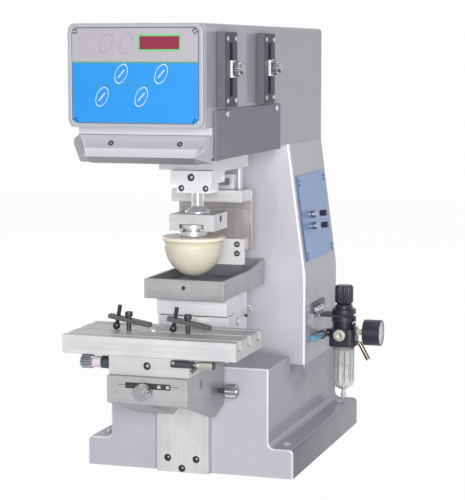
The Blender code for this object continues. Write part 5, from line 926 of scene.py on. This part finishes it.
def slide_lock():
    """Dark bar with a small screw, a handle, and a pale sleeve with a dark cap."""
    part = "slide_lock"
    place = Vector((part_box(part)[0].x, -0.3308, 0.1750))
    places = [(place, RIGHT)]
    rounds("lock_bar", LOCK_BLACK, part, places, stepped((0.0045, 0.0300)), 0.0004)
    sleeve = stepped((0.0030, 0.0366), (0.005, 0.0545), start=0.0295)
    rounds("lock_sleeve", BRASS, part, places, sleeve, 0.0003, stands_for=(part,))
    cap = [(0, 0.0540), (0.0046, 0.0540), (0.0040, 0.0568), (0, 0.0568)]
    rounds("lock_cap", BLACK_STEEL, part, places, cap, 0.0003)
    middle = place + Vector((0.0350, 0, 0))
    bm = bmesh.new()
    ball(bm, middle, 0.0039)
    turned(bm, stepped((0.0018, 0.0006)), place + Vector((0.0035, -0.0041, 0.0018)), (0, -0.9, 0.4))
    show("lock_neck", bm, STEEL, part)
    places = [(middle, (-0.62, -0.35, -0.70))]
    rounds("lock_handle", BLACK_STEEL, part, places, stepped((0.0022, 0.0123)), 0.0005, 24)


def table_gear():
    """Work table with a pin and two clamps, each with a bolt and a leaning jack screw."""
    dress("work_table", TABLE_METAL, 0.0006, 2, 40)
    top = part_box("work_table")[1].z
    head, pitch, tilt = 0.0062, 0.0013, math.radians(10)
    lean = Vector((math.sin(tilt), 0, math.cos(tilt)))
    thread = [(0, 0), (0.00235, 0), (0.0029, pitch / 2), (0.00235, pitch), (0, pitch)]
    for name, offset in (("left", 0.0150), ("right", 0.0178)):
        dress(f"clamp_bar_{name}", BAR_STEEL, 0.0005, 2, 40)
        bolt = f"clamp_bolt_{name}"
        low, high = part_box(bolt)
        x, y = (low.x + high.x) / 2, (low.y + high.y) / 2
        bm = bmesh.new()
        turned(bm, stepped((0.0065, 0.0059), (0.003, high.z - low.z - head)), (x, y, low.z), UP)
        screw(bm, (x, y, high.z - head), UP, 0.0100, head, hexagon(0.0029), turn=0.2)
        show(f"{bolt}_finished", bm, BLACK_STEEL, "table", 0.0003, 1, 50, (bolt,))
        middle = Vector((x - offset * math.cos(tilt), y, top + 0.0130 + offset * math.sin(tilt)))
        foot = middle - lean * 0.0135
        bm = bmesh.new()
        for step in range(20):
            turned(bm, thread, foot + lean * (0.0040 + pitch * step), lean, 20)
        bar(bm, foot, lean, 0.0052, 0.0300, 20)
        ball(bm, (foot.x, y, top + 0.0052), 0.0050, 24, 14)
        show(f"clamp_jack_{name}", bm, BLACK_STEEL, "table")
    places = [((-0.0132, -0.2780, top - 0.0050), UP)]
    rounds("table_pin", BRIGHT_PLATE_AND_GLINT, "table", places, stepped((0.0038, 0.0074)), 0.0006, 24)


def valve_gear():
    """Leaning blue plate with its screws and two throttle valves."""
    dress("valve_plate", BLUE_METAL, 0.0002, 1)
    lean, upright = 0.130592, 0.991436
    normal, slope = Vector((upright, 0, lean)), Vector((-lean, 0, upright))
    low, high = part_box("valve_plate")
    foot = Vector((high.x, 0, low.z))
    places = [(foot + slope * along + Vector((0, y, 0)), normal)
              for along in (0.0050, 0.0110, 0.1090, 0.1150) for y in (low.y + 0.006, high.y - 0.006)]
    fix("valve_plate_screws", BLUE_DARK, "frame", places, cross_screw, 0.0044, 0.0010)
    for name in ("upper", "lower"):
        node = f"throttle_body_{name}"
        low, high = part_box(node)
        base = (low + high) / 2 - normal * 0.0055
        bm = bmesh.new()
        screw(bm, base, normal, 0.0110, 0.0050, hexagon(0.0040), 0.1)
        show(f"throttle_{name}_finished", bm, KNURL_STEEL, "frame", 0.0003, 1, 40, (node,))
        nut = [(0, 0), (0.0052, 0), (0.0052, 0.0026), (0.0038, 0.0030), (0.0038, 0.0061), (0, 0.0061)]
        rounds(f"throttle_{name}_nut", ZINC_AND_GLINT, "frame", [(base + normal * 0.0048, normal)], nut, 0.0002, 6)
        node = f"throttle_knob_{name}"
        low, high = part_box(node)
        bm = bmesh.new()
        knurled(bm, (low + high) / 2 - normal * 0.005, normal, 0.0085, 0.0100, 12, 0.06, 0.0008)
        show(f"throttle_grip_{name}", bm, BLACK_PLASTIC, f"throttle_{name}", 0.0, stands_for=(node,))


def air_gear():
    dress("regulator_bracket", BRACKET)
    places = [((0.1144, y, 0.1925), RIGHT) for y in (0.0450, 0.0590, 0.0735)]
    shade_rings("bracket_screw_shade_rings", places, 0.0066)
    fix("bracket_screws", ZINC_AND_GLINT, "frame", places, socket_screw, 0.0092, 0.0050)
    regulator(AIR_X, AIR_Y)
    bowl(AIR_X, AIR_Y)
    gauge(AIR_Y)
    air_line(AIR_X, AIR_Y)


def regulator(x, y):
    """Body with a ribbed bonnet, a port with its plug, a clip and the knob."""
    low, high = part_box("regulator_body")
    half, shoulder = 0.019, 0.1610
    bm = bmesh.new()
    block(bm, (x - half, y - half, low.z), (x + half, y + half, shoulder))
    upright = [e for e in bm.edges if abs(e.verts[0].co.z - e.verts[1].co.z) > 0.01]
    soften(bm, upright, 0.008, 6, False)
    profile = [(0, 0.160), (0.0135, 0.160), (0.0135, 0.1710), (0.01775, 0.1710), (0.01775, 0.1787),
               (0.010, 0.1787), (0.010, 0.1824), (0.01725, 0.1824), (0.01725, 0.1895), (0.0130, 0.1905),
               (0.0125, 0.1940), (0.010, high.z), (0, high.z)]
    turned(bm, profile, (x, y, 0), UP)
    show("regulator_finished", bm, BLACK_PLASTIC, "frame", 0.0005, 2, 40, ("regulator_body",))
    bm = bmesh.new()
    for step in range(12):
        rib = block(bm, (0.0130, -0.0011, shoulder), (0.0166, 0.0011, 0.1712))
        turn = Matrix.Rotation(math.tau * (step + 0.5) / 12, 4, "Z")
        bmesh.ops.transform(bm, matrix=Matrix.Translation((x, y, 0)) @ turn, verts=rib)
    show("regulator_ribs", bm, BLACK_PLASTIC, "frame", 0.0003, 1, 40)
    port = (x - 0.0020, y - 0.0189, 0.1528)
    boss = [(0.0080, 0), (0.0112, 0), (0.0104, 0.0018), (0.0080, 0.0018)]
    rounds("port_boss", BLACK_PLASTIC, "frame", [(port, FRONT)], boss, 0.0003)
    bm = bmesh.new()
    screw(bm, port, FRONT, 0.0172, 0.0030, hexagon(0.0030), 0.3)
    show("regulator_plug", bm, PLUG_METAL, "frame", 0.0003, 1, 40)
    bm = bmesh.new()
    clip = ((0.1620, 0.1690), (0.1645, 0.1722), (0.1680, 0.1700), (0.1696, 0.1640))
    pipe(bm, [(clip_x, y - 0.008, clip_z) for clip_x, clip_z in clip], 0.0026, 14)
    show("bonnet_clip", bm, ZINC_AND_GLINT, "frame")
    bm = bmesh.new()
    knurled(bm, (x, y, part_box("regulator_knob")[0].z), UP, 0.0262, 0.0267, 20, 0.035, 0.0022)
    show("regulator_grip", bm, BLACK_PLASTIC, "regulator_knob", stands_for=("regulator_knob",))


def bowl(x, y):
    """Clear bowl with ribs, the filter inside it, a ring on top and the drain cock below."""
    low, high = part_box("filter_bowl")
    radius, wall, rise = 0.0152, 0.0022, 0.0130
    outer, inner = [], []
    for step in range(9):
        angle = math.pi / 2 * step / 8
        out, up = math.sin(angle), math.cos(angle)
        outer.append((radius * out, low.z + rise - rise * up))
        inner.append(((radius - wall) * out, low.z + rise - (rise - wall) * up))
    profile = outer + [(radius, high.z), (radius - wall, high.z)] + inner[::-1]
    rounds("bowl_clear", CLEAR, "frame", [((x, y, 0), UP)], profile, 0.0, 56, stands_for=("filter_bowl",))
    angles = [math.tau * step / 10 for step in range(10)]
    places = [((x + 0.0149 * math.cos(angle), y + 0.0149 * math.sin(angle), low.z + 0.0130), UP)
              for angle in angles]
    rounds("bowl_ribs", BOWL_GREY, "frame", places, stepped((0.00085, high.z - low.z - 0.0190)), sides=8)
    bm = bmesh.new()
    knurled(bm, (x, y, high.z - 0.0290), UP, 0.0165, 0.0260, 16, 0.06, 0.0010)
    bar(bm, (x, y, high.z - 0.0330), UP, 0.0215, 0.0035)
    bar(bm, (x, y, low.z + 0.0030), UP, 0.0050, 0.0250, 20)
    show("filter_element", bm, WHITE, "frame", 0.0003, 1, 50)
    ring = [(0.0135, 0), (0.0158, 0), (0.0158, 0.0045), (0.0135, 0.0045)]
    rounds("bowl_ring", BOWL_GREY, "frame", [((x, y, high.z - 0.0048), UP)], ring, 0.0003)
    low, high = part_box("drain_cock")
    bm = bmesh.new()
    knurled(bm, (x, y, high.z - 0.0050), DOWN, 0.0080, 0.0050, 8, 0.05, 0.0005)
    bar(bm, (x, y, high.z), DOWN, 0.0055, high.z - low.z, 24)
    show("drain_cock_finished", bm, ZINC_AND_GLINT, "drain_cock", 0.0002, 1, 40, ("drain_cock",))


def gauge(y):
    low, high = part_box("gauge_body")
    z = (low.z + high.z) / 2
    length, rim = high.x - low.x, 0.0045
    places = [((low.x, y, z), RIGHT)]
    rounds("gauge_nipple", NIPPLE_CREAM, "frame", places, stepped((0.005, 0.0113)), 0.0003, 6)
    case = [(0, 0.0110), (0.0178, 0.0110), (0.01875, 0.0122), (0.01875, length), (0.0166, length),
            (0.0166, length - rim), (0, length - rim)]
    rounds("gauge_case", BLACK_PLASTIC, "frame", places, case, 0.0003, 56, 2, 40, ("gauge_body",))
    places = [((high.x - rim, y, z), RIGHT)]
    rounds("gauge_dial", dial_face(y, z), "frame", places, stepped((0.0164, 0.0002)), sides=56)
    glass = [(0, 0), (0.0165, 0), (0.0165, 0.0010), (0, 0.0012)]
    rounds("gauge_lens", LENS, "frame", [((high.x - 0.0014, y, z), RIGHT)], glass, sides=56)
    dress("gauge_needle", DARK_MARK_AND_SHADE, 0.0)


def air_line(x, y):
    """Elbow, collar and short tube, and the hose barb."""
    tube_x, z = 0.1190, 0.1530
    bm = bmesh.new()
    bar(bm, (x - 0.0193, y, z), LEFT, 0.0120, 0.0060)
    elbow = arc((tube_x + 0.0050, y - 0.0050, z), (0, 0.0050, 0), (-0.0050, 0, 0), 90, 8)
    pipe(bm, [(x - 0.0245, y, z), *elbow, (tube_x, y - 0.0205, z)], 0.0118)
    show("elbow_finished", bm, BRONZE, "frame", 0.0003, 2, 50, ("elbow_fitting",))
    collar = [(0.0045, 0), (0.0065, 0), (0.0065, 0.0050), (0.0045, 0.0050)]
    rounds("elbow_collar", BLACK_PLASTIC, "frame", [((tube_x, y - 0.0160, z), FRONT)], collar, 0.0004)
    bend = arc((tube_x - 0.0070, y - 0.0205, z), (0.0070, 0, 0), (0, -0.0400, 0), 86, 12)
    bm = bmesh.new()
    pipe(bm, [(tube_x, y - 0.0190, z), *bend], 0.0088)
    show("air_tube", bm, TUBE_BLUE, "frame")

    start = Vector((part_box("hose_barb")[0].x, y, 0.1397))
    knee = start + Vector((0.0045, 0, 0))
    tip = knee + Vector((0.0130, 0, -0.0235))
    bm = bmesh.new()
    pipe(bm, [start, knee, tip], 0.0066)
    along = (tip - knee).normalized()
    ridge = [(0.0025, 0), (0.0036, 0), (0.0031, 0.0040), (0.0025, 0.0040)]
    for step in range(3):
        turned(bm, ridge, knee + along * (0.0125 + 0.0045 * step), along)
    show("barb_finished", bm, BRONZE, "frame", 0.0002, 1, 40, ("hose_barb",))


def seen_rays(nodes):
    """1 for camera, glossy and transmission rays."""
    return union([nodes.node("ShaderNodeLightPath", {}, output=f"Is {kind} Ray")
                  for kind in ("Camera", "Glossy", "Transmission")])


def studio():
    """Pale floor, soft lamps, white surroundings and the camera."""
    world = bpy.data.worlds.new("white_room")
    bpy.context.scene.world = world
    room = Nodes(world)
    plain = room.tree.nodes["Background"]
    plain.inputs["Color"].default_value = (0.80, 0.82, 0.88, 1)
    plain.inputs["Strength"].default_value = 0.22
    white = room.node("ShaderNodeBackground", {"Color": (0.985, 0.985, 0.985, 1)})
    room.blend(seen_rays(room), plain, white, "World Output")

    bm = bmesh.new()
    bmesh.ops.create_grid(bm, x_segments=1, y_segments=1, size=4.0)
    bmesh.ops.translate(bm, vec=(0, 0, -0.0002), verts=bm.verts)
    mesh = bpy.data.meshes.new("floor")
    bm.to_mesh(mesh)
    bm.free()
    floor = bpy.data.objects.new("floor", mesh)
    bpy.context.scene.collection.objects.link(floor)
    paper = Finish("floor_white", None, (0.78, 0.78, 0.78), 0.9)
    glow = paper.node("ShaderNodeEmission", {"Strength": 1.0})
    paper.blend(seen_rays(paper) * 0.97, paper.shader, glow, "Material Output")
    mesh.materials.append(paper.material)

    lamp("key_lamp", (0.92, -2.46, 0.60), (0, 0, 0.28), 0.9, 57)
    lamp("top_lamp", (-0.4, -0.4, 2.2), (0, 0, 0.3), 1.4, 6)
    lamp("side_lamp", (1.9, 1.5, 0.7), (0, 0, 0.3), 1.2, 3)
    lamp("rear_lamp", (-2.0, 1.7, 0.7), (0, 0, 0.28), 1.2, 26)

    view = bpy.data.cameras.new("photo_camera")
    view.lens = 121.46
    view.sensor_width = 36
    view.clip_end = 50
    camera = bpy.data.objects.new("photo_camera", view)
    bpy.context.scene.collection.objects.link(camera)
    turn, tilt = math.radians(17.649), math.radians(6.686)
    camera.location = (0.7280, -2.2745, 0.5593)
    camera.rotation_euler = (math.pi / 2 - tilt, 0, turn)
    bpy.context.scene.camera = camera
    bpy.context.scene.view_settings.view_transform = "Standard"


def lamp(name, place, aim, size, power):
    light = bpy.data.lights.new(name, "AREA")
    light.shape = "SQUARE"
    light.size = size
    light.energy = power
    holder = bpy.data.objects.new(name, light)
    bpy.context.scene.collection.objects.link(holder)
    holder.location = place
    holder.rotation_euler = (Vector(aim) - Vector(place)).to_track_quat("-Z", "Y").to_euler()


castings()
rear_details()
control_panel()
guard()
side_gear()
head_inside()
pad_gear()
blade_gear()
tray_gear()
knee_gear()
table_gear()
valve_gear()
air_gear()
studio()
